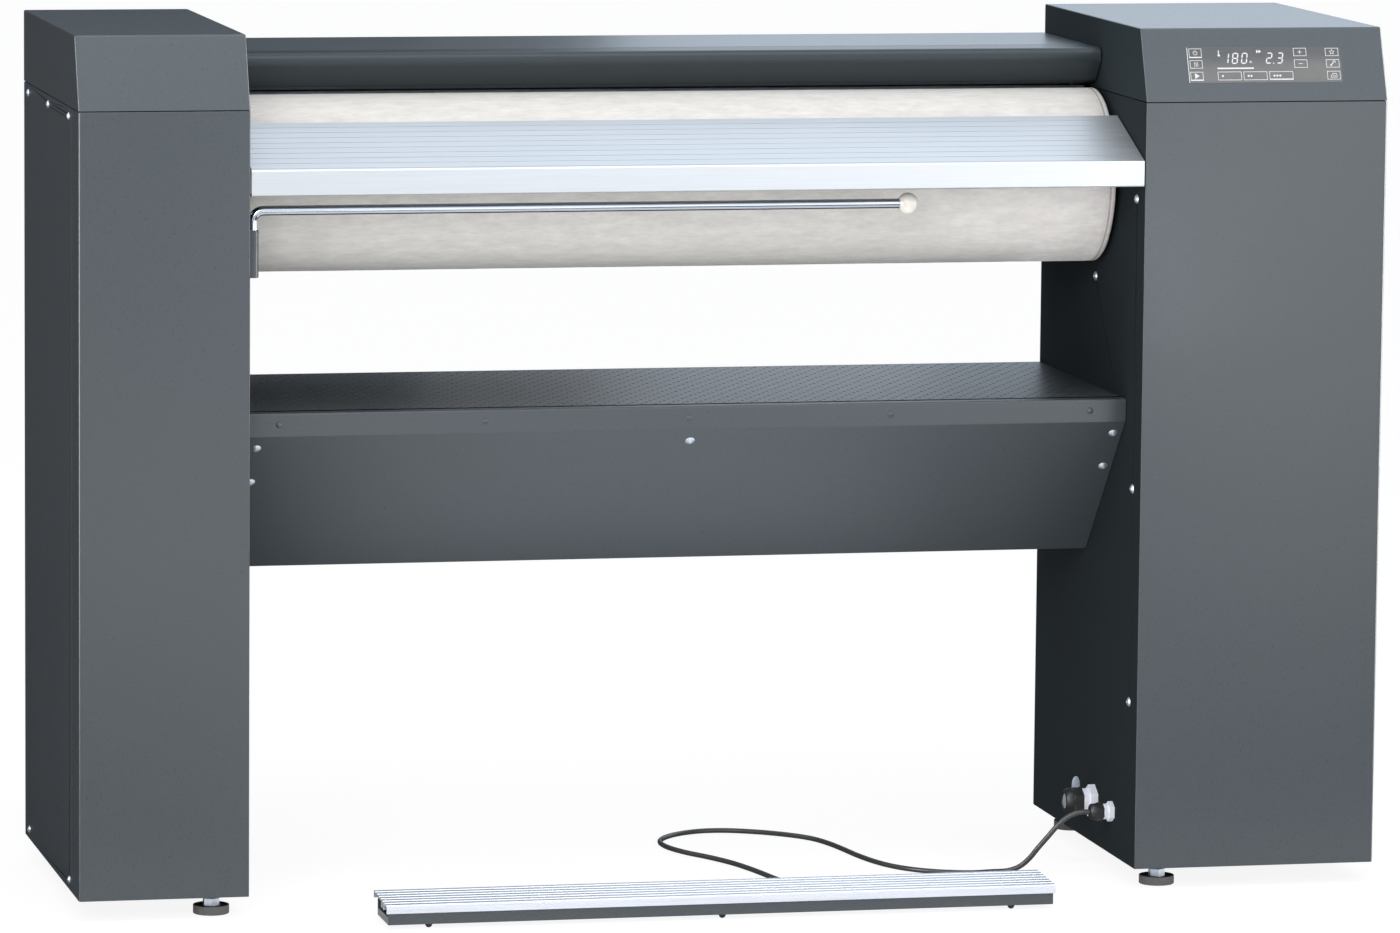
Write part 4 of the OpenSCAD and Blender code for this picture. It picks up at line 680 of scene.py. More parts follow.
class IRONER_OT_stage(IronerOperator, bpy.types.Operator):
    """Makes the camera, the soft lamps, the white surroundings and the floor"""
    bl_idname = "ironer.stage"
    bl_label = "Stage"

    def execute(self, context):
        for name in ("Camera", "Cube", "Light"):
            if name in bpy.data.objects:
                bpy.data.objects.remove(bpy.data.objects[name])
        scene = context.scene
        scene.view_settings.view_transform = "Standard"
        lens = bpy.data.cameras.new("eye")
        lens.lens = LENS
        lens.sensor_width = SENSOR
        lens.clip_end = SIGHT
        eye = bpy.data.objects.new("eye", lens)
        eye.matrix_world = eye_matrix()
        scene.collection.objects.link(eye)
        scene.camera = eye
        for name, (place, target, width, height, power, colour, *beam) in LAMPS.items():
            light = bpy.data.lights.new(name, "AREA")
            light.shape = "RECTANGLE"
            light.size = width
            light.size_y = height
            light.energy = power
            light.color = linear(colour)[:3]
            lamp = bpy.data.objects.new(name, light)
            lamp.location = place
            lamp.rotation_euler = (Vector(target) - Vector(place)).to_track_quat(
                "-Z", "Y").to_euler()
            lamp.visible_camera = False
            if beam:
                light.spread = math.radians(beam[0])
                lamp.visible_glossy = False
            scene.collection.objects.link(lamp)
        self.surroundings(scene)
        self.floor(scene)
        self.cards(scene)
        return {"FINISHED"}

    def surroundings(self, scene):
        """An even sky that gives light, a cooler one in reflections, and plain white behind."""
        world = bpy.data.worlds.new("white studio")
        world.use_nodes = True
        scene.world = world
        tree = world.node_tree
        tree.nodes.clear()
        path = add_node(tree, "ShaderNodeLightPath")
        sky = add_node(tree, "ShaderNodeBackground",
                       {"Color": linear("#f6f9ff"), "Strength": SKY_LIGHT})
        cool = add_node(tree, "ShaderNodeBackground",
                        {"Color": linear("#e2f0ff"), "Strength": SKY_MIRRORED})
        white = add_node(tree, "ShaderNodeBackground", {"Color": (1, 1, 1, 1), "Strength": 1.0})
        mirrored = add_node(tree, "ShaderNodeMixShader",
                            {0: path.outputs["Is Glossy Ray"], 1: sky.outputs[0],
                             2: cool.outputs[0]})
        mix = add_node(tree, "ShaderNodeMixShader",
                       {0: self.looked_at(tree, path), 1: mirrored.outputs[0],
                        2: white.outputs[0]})
        add_node(tree, "ShaderNodeOutputWorld", {"Surface": mix.outputs[0]})

    def looked_at(self, tree, path):
        """One on the rays that see the surroundings, straight or through glass."""
        return add_node(tree, "ShaderNodeMath", {0: path.outputs["Is Camera Ray"],
                                                 1: path.outputs["Is Transmission Ray"]},
                        operation="MAXIMUM").outputs[0]

    def floor(self, scene):
        """A white paper floor that keeps the object's shadow."""
        material = bpy.data.materials.new("white_paper")
        material.use_nodes = True
        tree = material.node_tree
        tree.nodes.clear()
        path = add_node(tree, "ShaderNodeLightPath")
        paper = add_node(tree, "ShaderNodeBsdfDiffuse", {"Color": linear("#f7f7f7")})
        lift = add_node(tree, "ShaderNodeEmission",
                        {"Color": (1, 1, 1, 1), "Strength": PAPER_WHITE})
        faint = add_node(tree, "ShaderNodeMixShader",
                         {0: PAPER_SEEN, 1: paper.outputs[0], 2: lift.outputs[0]})
        bounce = add_node(tree, "ShaderNodeMixShader",
                          {0: PAPER_BOUNCE, 1: paper.outputs[0], 2: lift.outputs[0]})
        glow = add_node(tree, "ShaderNodeMixShader",
                        {0: self.looked_at(tree, path), 1: bounce.outputs[0],
                         2: faint.outputs[0]})
        add_node(tree, "ShaderNodeOutputMaterial", {"Surface": glow.outputs[0]})
        bm = bmesh.new()
        bmesh.ops.create_grid(bm, x_segments=8, y_segments=8, size=FLOOR_HALF)
        mesh = bpy.data.meshes.new("paper_floor")
        bm.to_mesh(mesh)
        bm.free()
        mesh.materials.append(material)
        floor = bpy.data.objects.new("paper_floor", mesh)
        floor.location.z = -FLOOR_DROP
        scene.collection.objects.link(floor)

    def cards(self, scene):
        """Cards round the object, which darken or brighten what mirrors their side."""
        for name, (colour, cards) in CARDS.items():
            self.card(scene, name, cards, "ShaderNodeBsdfDiffuse", {"Color": linear(colour)})
        for name, (strength, cards) in BRIGHT_CARDS.items():
            self.card(scene, name, cards, "ShaderNodeEmission", {"Strength": strength})

    def card(self, scene, name, cards, kind, sockets):
        """Cards of one paper or light, which only reflections see."""
        material = bpy.data.materials.new(name)
        material.use_nodes = True
        tree = material.node_tree
        tree.nodes.clear()
        board = add_node(tree, kind, sockets)
        add_node(tree, "ShaderNodeOutputMaterial", {"Surface": board.outputs[0]})
        bm = bmesh.new()
        for corners in cards:
            bm.faces.new([bm.verts.new(corner) for corner in corners])
        mesh = bpy.data.meshes.new(name)
        bm.to_mesh(mesh)
        bm.free()
        mesh.materials.append(material)
        card = bpy.data.objects.new(name, mesh)
        card.visible_camera = False
        card.visible_diffuse = False
        card.visible_transmission = False
        card.visible_shadow = False
        scene.collection.objects.link(card)


# Pedal cable

# How far the columns' front stands before the frame's origin, in millimetres
FRONT_DEPTH = 171.5
# The route from the gland to the foot bar, in metres. Its points are chosen in millimetres,
# along the machine, behind the columns' front and over the floor.
CABLE_ROUTE = [Vector((x, y - FRONT_DEPTH, z)) * MM for x, y, z in (
    (438, 96, 74.5), (425, 96, 74), (412, 97, 69), (401, 99, 59), (391, 103, 46), (381, 109, 32),
    (372, 116, 18), (362, 122, 8), (348, 125, 3.2), (328, 122, 3.2), (305, 119, 3.2),
    (280, 126, 3.2), (257, 139, 3.2), (238, 157, 3.2), (222, 182, 3.2), (210, 215, 3.2),
    (201, 255, 3.2), (194, 300, 3.2), (186, 340, 3.2), (174, 373, 3.2), (153, 400, 3.2),
    (122, 425, 3.2), (85, 442, 3.2), (50, 441, 3.2), (16, 420, 3.2), (-5, 387, 3.2),
    (-7, 349, 3.2), (6, 308, 3.2), (28, 268, 3.2), (45, 230, 3.2), (57, 190, 3.2), (65, 155, 3.2),
    (72, 120, 3.2), (82, 80, 3.2), (91, 40, 3.2), (95, 10, 6), (96, -12, 11), (96, -31.4, 13),
)]
# Diameter of the sheath in metres, and how finely its curve and its girth are drawn
CABLE_D = 0.006
CABLE_STEPS, CABLE_SIDES = 5, 14


def smooth_line(points, steps):
    """A smooth curve through the points."""
    line = []
    for i in range(len(points) - 1):
        p0, p1, p2, p3 = (points[max(0, min(len(points) - 1, i + k))] for k in (-1, 0, 1, 2))
        for k in range(steps):
            t = k / steps
            line.append(0.5 * (2 * p1 + (p2 - p0) * t + (2 * p0 - 5 * p1 + 4 * p2 - p3) * t ** 2
                               + (3 * p1 - p0 - 3 * p2 + p3) * t ** 3))
    return line + [points[-1]]


class IRONER_OT_pedal_cable(IronerOperator, bpy.types.Operator):
    """Lays the pedal cable from its gland over the floor to the foot bar"""
    bl_idname = "ironer.pedal_cable"
    bl_label = "Pedal cable"

    def execute(self, context):
        line = smooth_line(CABLE_ROUTE, CABLE_STEPS)
        bm = bmesh.new()
        tube(bm, [p / MM for p in line], CABLE_D / 2 / MM, CABLE_SIDES)
        cable = grow("pedal_cable_sheath", bm, context, [cable_sheath], "base", "rubber",
                     "pedal_cable", crease=60)
        return {"FINISHED"}


# Columns and heads

# A face counts as flat where its normal keeps this share along one axis.
FLAT_SHARE = 0.9


class IRONER_OT_columns(IronerOperator, bpy.types.Operator):
    """Coats the columns' sheets and folds the hoods of both heads"""
    bl_idname = "ironer.columns"
    bl_label = "Columns and heads"

    def execute(self, context):
        dress(context, powder_coat, "left_front_cover", "right_front_cover", "left_side_panel",
              "right_side_panel", "left_rear_panel", "right_rear_panel", edge=0.7)
        # The frames' walls take the darker matt grey as painted shade between the columns.
        dress(context, inner_wall_coat, "left_frame", "right_frame")
        for side in ("left", "right"):
            self.hood(context, side)
        return {"FINISHED"}

    def hood(self, context, side):
        """A hood folded from one sheet, with soft outer folds."""
        low, high = box(side + "_head_cover")
        bm = bmesh.new()
        outline = [(low.y, low.z), (low.y + HEAD_SETBACK, high.z), (high.y, high.z),
                   (high.y, low.z)]
        rings = [place_points(bm, [(x, y, z) for y, z in outline]) for x in (low.x, high.x)]
        for i in range(3):
            bm.faces.new((rings[0][i], rings[0][i + 1], rings[1][i + 1], rings[1][i]))
        bm.faces.new(rings[0][::-1])
        bm.faces.new(rings[1])
        bmesh.ops.recalc_face_normals(bm, faces=bm.faces)
        folds = [edge for edge in bm.edges if len(edge.link_faces) == 2]
        bmesh.ops.bevel(bm, geom=folds, offset=context.scene.ironer_sizes.hood_fold, segments=4,
                        affect="EDGES", profile=0.5, clamp_overlap=True)
        # The flat inner side gets the darker matt coat as painted shade; the folds round it keep
        # the satin one.
        inward = -1 if side == "right" else 1
        for face in bm.faces:
            face.normal_update()
            face.material_index = 1 if face.normal.x * inward > FLAT_SHARE else 0
        hood = grow(side + "_hood", bm, context, [powder_coat, inner_head_coat], "base",
                    "powder_coat", side + "_head_cover", crease=50)
        shell = hood.modifiers.new("sheet", "SOLIDIFY")
        shell.thickness = SHEET * MM
        shell.offset = -1
        shell.use_even_offset = True
        hood.modifiers.new("flat faces", "WEIGHTED_NORMAL").keep_sharp = True


# Screws and rivets

# Half outlines by radius and by height over the sheet, in millimetres: a rivet with its dome,
# its shank behind the lip, and a painted shadow ring round it
RIVET_DOME = 1.4
RIVET = ((0, RIVET_DOME), (1.1, RIVET_DOME), (2.2, 1.15), (3.0, 0.6), (3.3, 0.1), (3.3, -0.2),
         (2, -0.2), (2, -3), (0, -3))
RIVET_SHADOW_RING = ((3.1, 0.05), (3.9, 0.05), (3.95, 0))
# A pan head: radius of the shank, depth of the recess, and its radius as a share of the head's
SHANK_R, RECESS, RECESS_SHARE = 2, 0.8, 0.15
# Points further out than this share of a head's radius lie on its rim.
WIDEST_SHARE = 0.95


class IRONER_OT_fasteners(IronerOperator, bpy.types.Operator):
    """Turns every pan-head screw with its small round recess, and every rivet"""
    bl_idname = "ironer.fasteners"
    bl_label = "Screws and rivets"

    def execute(self, context):
        gap_middle = (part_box("left_frame")[1].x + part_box("right_frame")[0].x) / 2 / MM
        top, foot = apron_line()
        slope = (foot - top).normalized()
        for node, name in (("side_screws", "side_panel_screws"),
                           ("wall_screws", "wall_plate_screws"),
                           ("apron_screws", "apron_pan_screws")):
            bm = bmesh.new()
            for points in islands(node):
                middle = sum(points, Vector()) / len(points)
                side = 1 if middle.x > gap_middle else -1
                if node == "apron_screws":
                    outward = Vector((0, slope.y, -slope.x))
                elif node == "side_screws":
                    outward = Vector((side, 0, 0))
                else:
                    outward = Vector((-side, 0, 0))
                self.screw(bm, points, middle, outward)
            grow(name, bm, context, [bright_zinc], "base", "chromed_steel", node, crease=40)
        bm = bmesh.new()
        for points in islands("tray_rivets"):
            middle = sum(points, Vector()) / len(points)
            crown = min(p.y for p in points)
            place = facing(Vector((middle.x, crown + RIVET_DOME, middle.z)), Vector((0, -1, 0)))
            lathe(bm, RIVET, place, 28)
            # The dark ring round the rivet is painted shadow.
            lathe(bm, RIVET_SHADOW_RING, place, 28, index=1)
        grow("lip_rivets", bm, context, [powder_coat, dark_ink], "base", "powder_coat",
             "tray_rivets", crease=40)
        return {"FINISHED"}

    def screw(self, bm, points, middle, outward):
        """One screw as large as its solid: domed head, rolled rim and a small sunk recess."""
        heights = [(p - middle).dot(outward) for p in points]
        spreads = [(p - middle - outward * h).length for p, h in zip(points, heights)]
        radius = max(spreads)
        # The head sits where its solid is widest.
        seat = min(h for h, r in zip(heights, spreads) if r > WIDEST_SHARE * radius)
        height = max(heights) - seat
        place = facing(middle + outward * seat, outward)
        ball = (radius ** 2 + height ** 2) / (2 * height)
        dome = [(r, math.sqrt(ball ** 2 - r ** 2) - ball + height)
                for r in (radius * k / 16 for k in range(3, 16))]
        foot = min(heights) - seat
        rim = [(radius - 0.08, 0.3), (radius, 0.15), (radius, 0), (SHANK_R, 0), (SHANK_R, foot),
               (0, foot)]
        recess = [(0, height - RECESS), (radius * RECESS_SHARE, height - RECESS + 0.05)]
        lathe(bm, recess + dome + rim, place, 32)


# Control panel

# Places on the glass are given by X and by the distance up the head's slope, in millimetres.
# The plate's foot and top, how far it stands out, how deep it reaches, and its ground edge
GLASS_FOOT, GLASS_TOP = 22, 64.3
GLASS_OUT, GLASS_DEEP, GLASS_EDGE = 0.3, 1.5, 0.2
# Line of keys and signs, and the bright foot of a key whose function is on
INK_LINE, LIT_FOOT = 0.6, 1.4
# Frames of the touch keys, as left, foot, right and top, and the ones that are on
KEYS = {
    "on_and_off": (519.6, 51.6, 534.6, 62.8),
    "steam_outlet": (519.8, 39.2, 534.7, 48.9),
    "start": (519.4, 24.6, 534.4, 35.1),
    "more": (643, 53.1, 658.3, 62.7),
    "less": (643, 39.2, 658.6, 48.9),
    "favourite": (680.7, 52.9, 696.3, 62.4),
    "settings": (680.8, 39.2, 696.4, 48.9),
    "iron": (680.9, 25, 696.5, 35),
}
KEYS_ON = ("on_and_off", "start")
# The three damp steps: their left edges, width, foot and top, and which one is on
STEP_LEFTS, STEP_W, STEP_FOOT, STEP_TOP, STEP_ON = (551.6, 582, 612.5), 28, 25, 35.1, 2
# Seven-segment figures: foot, width and height, thickness of a segment, the gap between two
# segments, and how far a figure leans as a share of its height
FIGURE_FOOT, FIGURE_W, FIGURE_H = 45, 5.7, 11.8
FIGURE_LINE, FIGURE_GAP, FIGURE_LEAN = 1.4, 0.25, 0.18
# Left edges of the figures: where the temperature's begin and how far they are apart, and the
# two of the speed
TEMPERATURE_LEFT, TEMPERATURE_PITCH = 558.8, 10.9
SPEED_LEFTS = (610, 622.8)
# Faint marks of the studs welded behind the sheet: height on the slope, and places along X
WELD_SPOTS = ((73.6, (520, 556.5, 593, 629.5, 666)), (13.4, (525, 598.5, 671.5)))
WELD_SPOT_R, WELD_SPOT_OUT = 0.55, 0.04


class PanelPrint:
    """Signs on the control glass, by X and by the distance up the head's slope, in mm."""
    segments = {"0": "abcdef", "1": "bc", "2": "abged", "3": "abgcd", "4": "fgbc", "5": "afgcd",
                "6": "afgedc", "7": "abc", "8": "abcdefg", "9": "abcdfg", " ": ""}

    def __init__(self, lift):
        self.bm = bmesh.new()
        self.lift = lift
        lean = math.atan2(HEAD_SETBACK, HEAD_HIGH.z - HEAD_LOW.z)
        self.up = Vector((0, math.sin(lean), math.cos(lean)))
        self.out = Vector((0, -math.cos(lean), math.sin(lean)))
        self.foot = Vector((0, FRONT_Y, HEAD_LOW.z))

    def point(self, x, v, lift=None):
        """A place on the slope as a point, at the print's own height or another."""
        return self.foot + Vector((x, 0, 0)) + self.up * v + self.out * (
            self.lift if lift is None else lift)

    def patch(self, corners):
        """One face of ink."""
        self.bm.faces.new(place_points(self.bm, [self.point(*c) for c in corners]))

    def bar(self, x0, v0, x1, v1):
        """An upright rectangle of ink."""
        self.patch([(x0, v0), (x1, v0), (x1, v1), (x0, v1)])

    def key(self, x0, v0, x1, v1, lit):
        """The thin frame of one touch key, with a bright foot where its function is on."""
        t = INK_LINE
        foot = LIT_FOOT if lit else t
        for a, b, c, d in ((x0, v0, x1, v0 + foot), (x0, v1 - t, x1, v1),
                           (x0, v0 + foot, x0 + t, v1 - t), (x1 - t, v0 + foot, x1, v1 - t)):
            self.bar(a, b, c, d)

    def disc(self, x, v, r, hole=0, start=0, turn=360):
        """A disc or ring, or a part of one that begins at start and turns on, in degrees."""
        n = int(turn / 15)
        for k in range(n):
            a, b = (math.radians(start + turn * (k + j) / n) for j in (0, 1))
            ring = [(x + r * math.cos(q), v + r * math.sin(q)) for q in (a, b)]
            if hole:
                ring += [(x + hole * math.cos(q), v + hole * math.sin(q)) for q in (b, a)]
            else:
                ring.append((x, v))
            self.patch(ring)

    def stroke(self, points, t=INK_LINE, closed=False):
        """A line of ink of thickness t through the points."""
        line = [Vector(p) for p in points]
        for a, b in zip(line, line[1:] + (line[:1] if closed else [])):
            side = (b - a).normalized().orthogonal() * t / 2
            end = (b - a).normalized() * t / 3
            self.patch([a - end - side, b + end - side, b + end + side, a - end + side])

    def digit(self, sign, x):
        """One leaning seven-segment figure with its left edge at x."""
        w, h, g, t = FIGURE_W, FIGURE_H, FIGURE_GAP, FIGURE_LINE
        half = h / 2
        bars = {"a": ((g, h), (w - g, h)), "d": ((g, 0), (w - g, 0)),
                "g": ((g, half), (w - g, half)), "b": ((w, half + g), (w, h - g)),
                "c": ((w, g), (w, half - g)), "f": ((0, half + g), (0, h - g)),
                "e": ((0, g), (0, half - g))}
        for name in self.segments[sign]:
            a, b = (Vector(p) for p in bars[name])
            along = (b - a).normalized()
            side = along.orthogonal() * t / 2
            corners = (a, a + along * t / 2 + side, b - along * t / 2 + side, b,
                       b - along * t / 2 - side, a + along * t / 2 - side)
            self.patch([(x + c.x + FIGURE_LEAN * c.y, FIGURE_FOOT + c.y) for c in corners])


class IRONER_OT_control_panel(IronerOperator, bpy.types.Operator):
    """Fits the control glass and prints its key frames, signs and plain numbers"""
    bl_idname = "ironer.control_panel"
    bl_label = "Control panel"

    def execute(self, context):
        sizes = context.scene.ironer_sizes
        low, high = box("control_glass")
        dress(context, circuit_board, "control_board")
        self.glass(context, low.x, high.x)
        self.signs(context, sizes, low.x)
        spots = PanelPrint(WELD_SPOT_OUT)
        for v, places in WELD_SPOTS:
            for x in places:
                spots.disc(x, v, WELD_SPOT_R)
        grow("weld_spots", spots.bm, context, [dark_ink], "base", "powder_coat")
        return {"FINISHED"}

    def glass(self, context, x0, x1):
        """The plate of glass, flush in the sloping sheet, with ground edges."""
        plate = PanelPrint(GLASS_OUT)
        corners = [(x0, GLASS_FOOT), (x1, GLASS_FOOT), (x1, GLASS_TOP), (x0, GLASS_TOP)]
        front = place_points(plate.bm, [plate.point(x, v) for x, v in corners])
        back = place_points(plate.bm, [plate.point(x, v, -GLASS_DEEP) for x, v in corners])
        for i in range(4):
            j = (i + 1) % 4
            plate.bm.faces.new((front[i], front[j], back[j], back[i]))
        plate.bm.faces.new(front)
        plate.bm.faces.new(back[::-1])
        bmesh.ops.bevel(plate.bm, geom=list(plate.bm.edges), offset=GLASS_EDGE * MM, segments=2,
                        affect="EDGES", profile=0.5)
        grow("touch_glass", plate.bm, context, [control_glass], "base", "control_glass",
             "control_glass", crease=20, even=True)

    def signs(self, context, sizes, glass_left):
        """All keys, signs and figures, as one print."""
        p = PanelPrint(GLASS_OUT + sizes.ink / MM)
        p.bar(glass_left + 0.3, GLASS_FOOT + 0.4, glass_left + 1.1, GLASS_TOP - 0.4)
        for name, corners in KEYS.items():
            p.key(*corners, lit=name in KEYS_ON)
        # Left keys: on and off, steam outlet, start
        p.disc(527, 57.6, 2.7, hole=2.1, start=120, turn=300)
        p.bar(526.7, 57.6, 527.4, 61)
        for x in (525.4, 527.2, 529):
            p.stroke([(x - 0.3, 41.6), (x + 0.3, 43.3), (x - 0.3, 45), (x + 0.3, 46.6)])
        p.patch([(524.6, 26.9), (530, 30.2), (524.6, 33.5)])
        # Temperature: small thermometer, number, degree ring and bar
        p.disc(554.6, 54.6, 1.5)
        p.bar(554, 55.2, 555.2, 60.4)
        for k, sign in enumerate(str(sizes.temperature).rjust(3)):
            p.digit(sign, TEMPERATURE_LEFT + k * TEMPERATURE_PITCH)
        p.disc(591.6, 46.6, 1.3, hole=0.7)
        p.bar(551.6, 38.2, 594.7, 39.9)
        # Damp steps: one, two and three dots
        for k, x in enumerate(STEP_LEFTS):
            p.key(x, STEP_FOOT, x + STEP_W, STEP_TOP, lit=k == STEP_ON)
            for dot in range(k + 1):
                p.disc(x + 5.8 + dot * 3.4, 30, 1.25)
        # Speed: double arrow, number with its point
        for x in (599.2, 602.1):
            p.patch([(x, 56.6), (x + 3, 58.8), (x, 61)])
        for sign, x in zip(str(sizes.speed).rjust(2), SPEED_LEFTS):
            p.digit(sign, x)
        p.disc(618.7, 44.7, 0.8)
        # More and less
        p.bar(648.2, 57.5, 653, 58.2)
        p.bar(650.25, 55.5, 650.95, 60.3)
        p.bar(648.4, 43.7, 653.2, 44.4)
        # Right keys: favourite, settings, iron
        star = [(688.5 + r * math.sin(math.pi * k / 5), 57.7 + r * math.cos(math.pi * k / 5))
                for k in range(10) for r in ((3, 1.35)[k % 2],)]
        p.stroke(star, closed=True)
        p.disc(690.4, 46, 1.7, hole=0.9, start=-60, turn=300)
        p.disc(686.6, 42, 1.2, hole=0.5)
        p.stroke([(689.4, 45), (687.4, 42.9)], 1.1)
        p.stroke([(685, 27.6), (692.4, 27.6), (692, 31.6), (688.3, 32.4), (685.6, 29.6)], 0.65,
                 closed=True)
        p.stroke([(687.4, 29.4), (690.6, 29.4)])
        grow("panel_signs", p.bm, context, [glass_ink], "base", "control_glass")


# Roller

# Thickness of the felt on the drum in millimetres, and how finely it is drawn
FELT = 8.4
FELT_ALONG, FELT_ROUND = 150, 144


class IRONER_OT_roller(IronerOperator, bpy.types.Operator):
    """Covers the roller with needle felt, hemmed at both ends, over its steel drum"""
    bl_idname = "ironer.roller"
    bl_label = "Roller"

    def execute(self, context):
        sizes = context.scene.ironer_sizes
        low, high = box("roller_padding")
        y, z = (low.y + high.y) / 2, (low.z + high.z) / 2
        outer = (high.z - low.z) / 2
        inner = outer - FELT
        hem = sizes.hem / MM
        wave = sizes.felt_wave / MM
        # Along the axis: place, radius and whether it is hem tape
        end = [(0, inner + 0.2, 0), (0, outer - 3.4, 0), (0.5, outer - 1.6, 0),
               (1.6, outer - 0.5, 0), (3, outer - 0.12, 0), (hem - 3, outer - 0.2, 1),
               (hem - 0.5, outer - 0.5, 1), (hem, outer - 1.0, 0), (hem + 0.7, outer - 0.5, 0)]
        span = high.x - low.x
        plain = hem + 2.2
        inside = [(plain + (span - 2 * plain) * k / FELT_ALONG, outer - 0.15, 0)
                  for k in range(FELT_ALONG + 1)]
        line = end + inside + [(span - a, r, tape) for a, r, tape in reversed(end)]
        bm = bmesh.new()
        rings = []
        for a, r, tape in line:
            ring = []
            for k in range(FELT_ROUND):
                q = 2 * math.pi * k / FELT_ROUND
                size = r - (0 if tape else self.dip(a, q, wave))
                ring.append((low.x + a, y + size * math.cos(q), z + size * math.sin(q)))
            rings.append(place_points(bm, ring))
        for i in range(len(rings) - 1):
            for k in range(FELT_ROUND):
                j = (k + 1) % FELT_ROUND
                face = bm.faces.new((rings[i][k], rings[i][j], rings[i + 1][j], rings[i + 1][k]))
                face.material_index = line[i][2] and line[i + 1][2]
        for k in range(FELT_ROUND):
            j = (k + 1) % FELT_ROUND
            bm.faces.new((rings[0][k], rings[0][j], rings[-1][j], rings[-1][k]))
        cloth = grow("roller_felt", bm, context, [needle_felt, hem_tape], "roller", "needle_felt",
                     "roller_padding", crease=60)
        dress(context, turned_steel, "roller_drum", edge=0.5)
        return {"FINISHED"}

    def dip(self, a, q, wave):
        """How far the felt dips at a place along the roller and at a turn round it."""
        where = Vector((a * 0.012, math.cos(q) * 2.2, math.sin(q) * 2.2))
        dip = wave * (0.5 + 0.5 * noise.noise(where * 1.7) + 0.3 * noise.noise(where * 6))
        return min(max(dip, 0), 2 * wave)


# Feed table

# The extrusion in millimetres: wall, height of the lip, width of the fold under it, how far the
# slope runs back and rises, and depth of the two ribs under it
TABLE_T, TABLE_LIP, TABLE_FOLD, TABLE_BACK, TABLE_RISE, TABLE_RIB = 2.5, 29, 16, 118, 42.5, 10
# Where the ribs stand, as shares of the slope
TABLE_RIB_SHARES = (0.42, 0.78)
# Fine grooves: how many, their distance, half their width at the top and at the foot, depth
GROOVES, GROOVE_PITCH, GROOVE_TOP, GROOVE_FOOT, GROOVE_DEPTH = 9, 13.5, 0.4, 0.38, 0.6


class IRONER_OT_feed_table(IronerOperator, bpy.types.Operator):
    """Draws the feed table's extrusion with its grooves, rounded nose and ribs"""
    bl_idname = "ironer.feed_table"
    bl_label = "Feed table"

    def execute(self, context):
        low, high = box("feed_table")
        nose = context.scene.ironer_sizes.table_fold / MM
        t, rib = TABLE_T, TABLE_RIB
        front = Vector((low.y, low.z + TABLE_LIP))
        rear = Vector((front.x + TABLE_BACK, front.y + TABLE_RISE))
        run = (rear - front).length
        along = (rear - front).normalized()
        up = Vector((-along.y, along.x))

        def at(s, n):
            return front + along * s + up * n

        line = [at(run, -t), at(run, -0.6), at(run - 0.6, 0)]
        radius = [0, 0.3, 0]
        for k in range(1, GROOVES + 1):
            s = run - GROOVE_PITCH * k
            line += [at(s + GROOVE_TOP, 0), at(s + GROOVE_FOOT, -GROOVE_DEPTH),
                     at(s - GROOVE_FOOT, -GROOVE_DEPTH), at(s - GROOVE_TOP, 0)]
            radius += [0, 0, 0, 0]
        foot = front - Vector((0, TABLE_LIP))
        line += [front, foot, foot + Vector((TABLE_FOLD, 0)), foot + Vector((TABLE_FOLD, t)),
                 foot + Vector((t, t)), at(t, -t) - Vector((0, 0.6))]
        radius += [nose, 1.6, 0.4, 0.4, 0.8, 1.2]
        for share in TABLE_RIB_SHARES:
            s = share * run
            line += [at(s, -t), at(s, -t - rib), at(s + t, -t - rib), at(s + t, -t)]
            radius += [0.8, 0.4, 0.4, 0.8]
        bm = bmesh.new()
        extrude(bm, fillet(line, radius, 5, closed=True), low.x, high.x)
        grow("feed_table_extrusion", bm, context, [extruded_aluminium], "base",
             "anodised_aluminium", "feed_table", crease=28, even=True)
        dress(context, zinc_plate, "table_brackets")
        return {"FINISHED"}


# Trough cover and finger guard

# Depths from the columns' front and heights over the floor, in millimetres: the cover's front
# edge and its fold, its return under the rear, and the outline of its two end plates
COVER_FRONT, COVER_LIP, COVER_RETURN = 249, 6, 55
END_FRONT, END_SIDE, END_NECK, END_FOOT = 251, 934.5, 307, 25
END_WAIST, END_WAIST_LOW, END_WAIST_HIGH = 380, 730.5, 890.5
# Tabs that hang the cover between the columns: width, thickness and heights of their feet
TAB_W, TAB_T, TAB_FEET = 24, 2, (710.5, 851.8)
# Gap between the cover and each column's inner wall
COVER_GAP = 2
# Finger guard: sheet, half axes of its rolled nose, and the turn of the roll in degrees
GUARD_T, NOSE_D, NOSE_H, NOSE_TURN, NOSE_STEPS = 2, 8.5, 10, 127, 28
# Depths of its rear edge, lower fold, lower edge and pin, and how far the last three lie down
GUARD_REAR, GUARD_FOLD, GUARD_EDGE, GUARD_PIN = 246.5, 211, 232, 257
GUARD_FOLD_DOWN, GUARD_EDGE_DOWN, GUARD_PIN_DOWN = 38.5, 43, 10
# Its hinge ears: how far inside the guard's ends they stand, and half their outline round the pin
EAR_INSET = 1.8
EAR_ROUND = ((0, -6), (4.6, -3.8), (6, 0), (4.6, 3.8), (0, 2.4), (-14, 2))


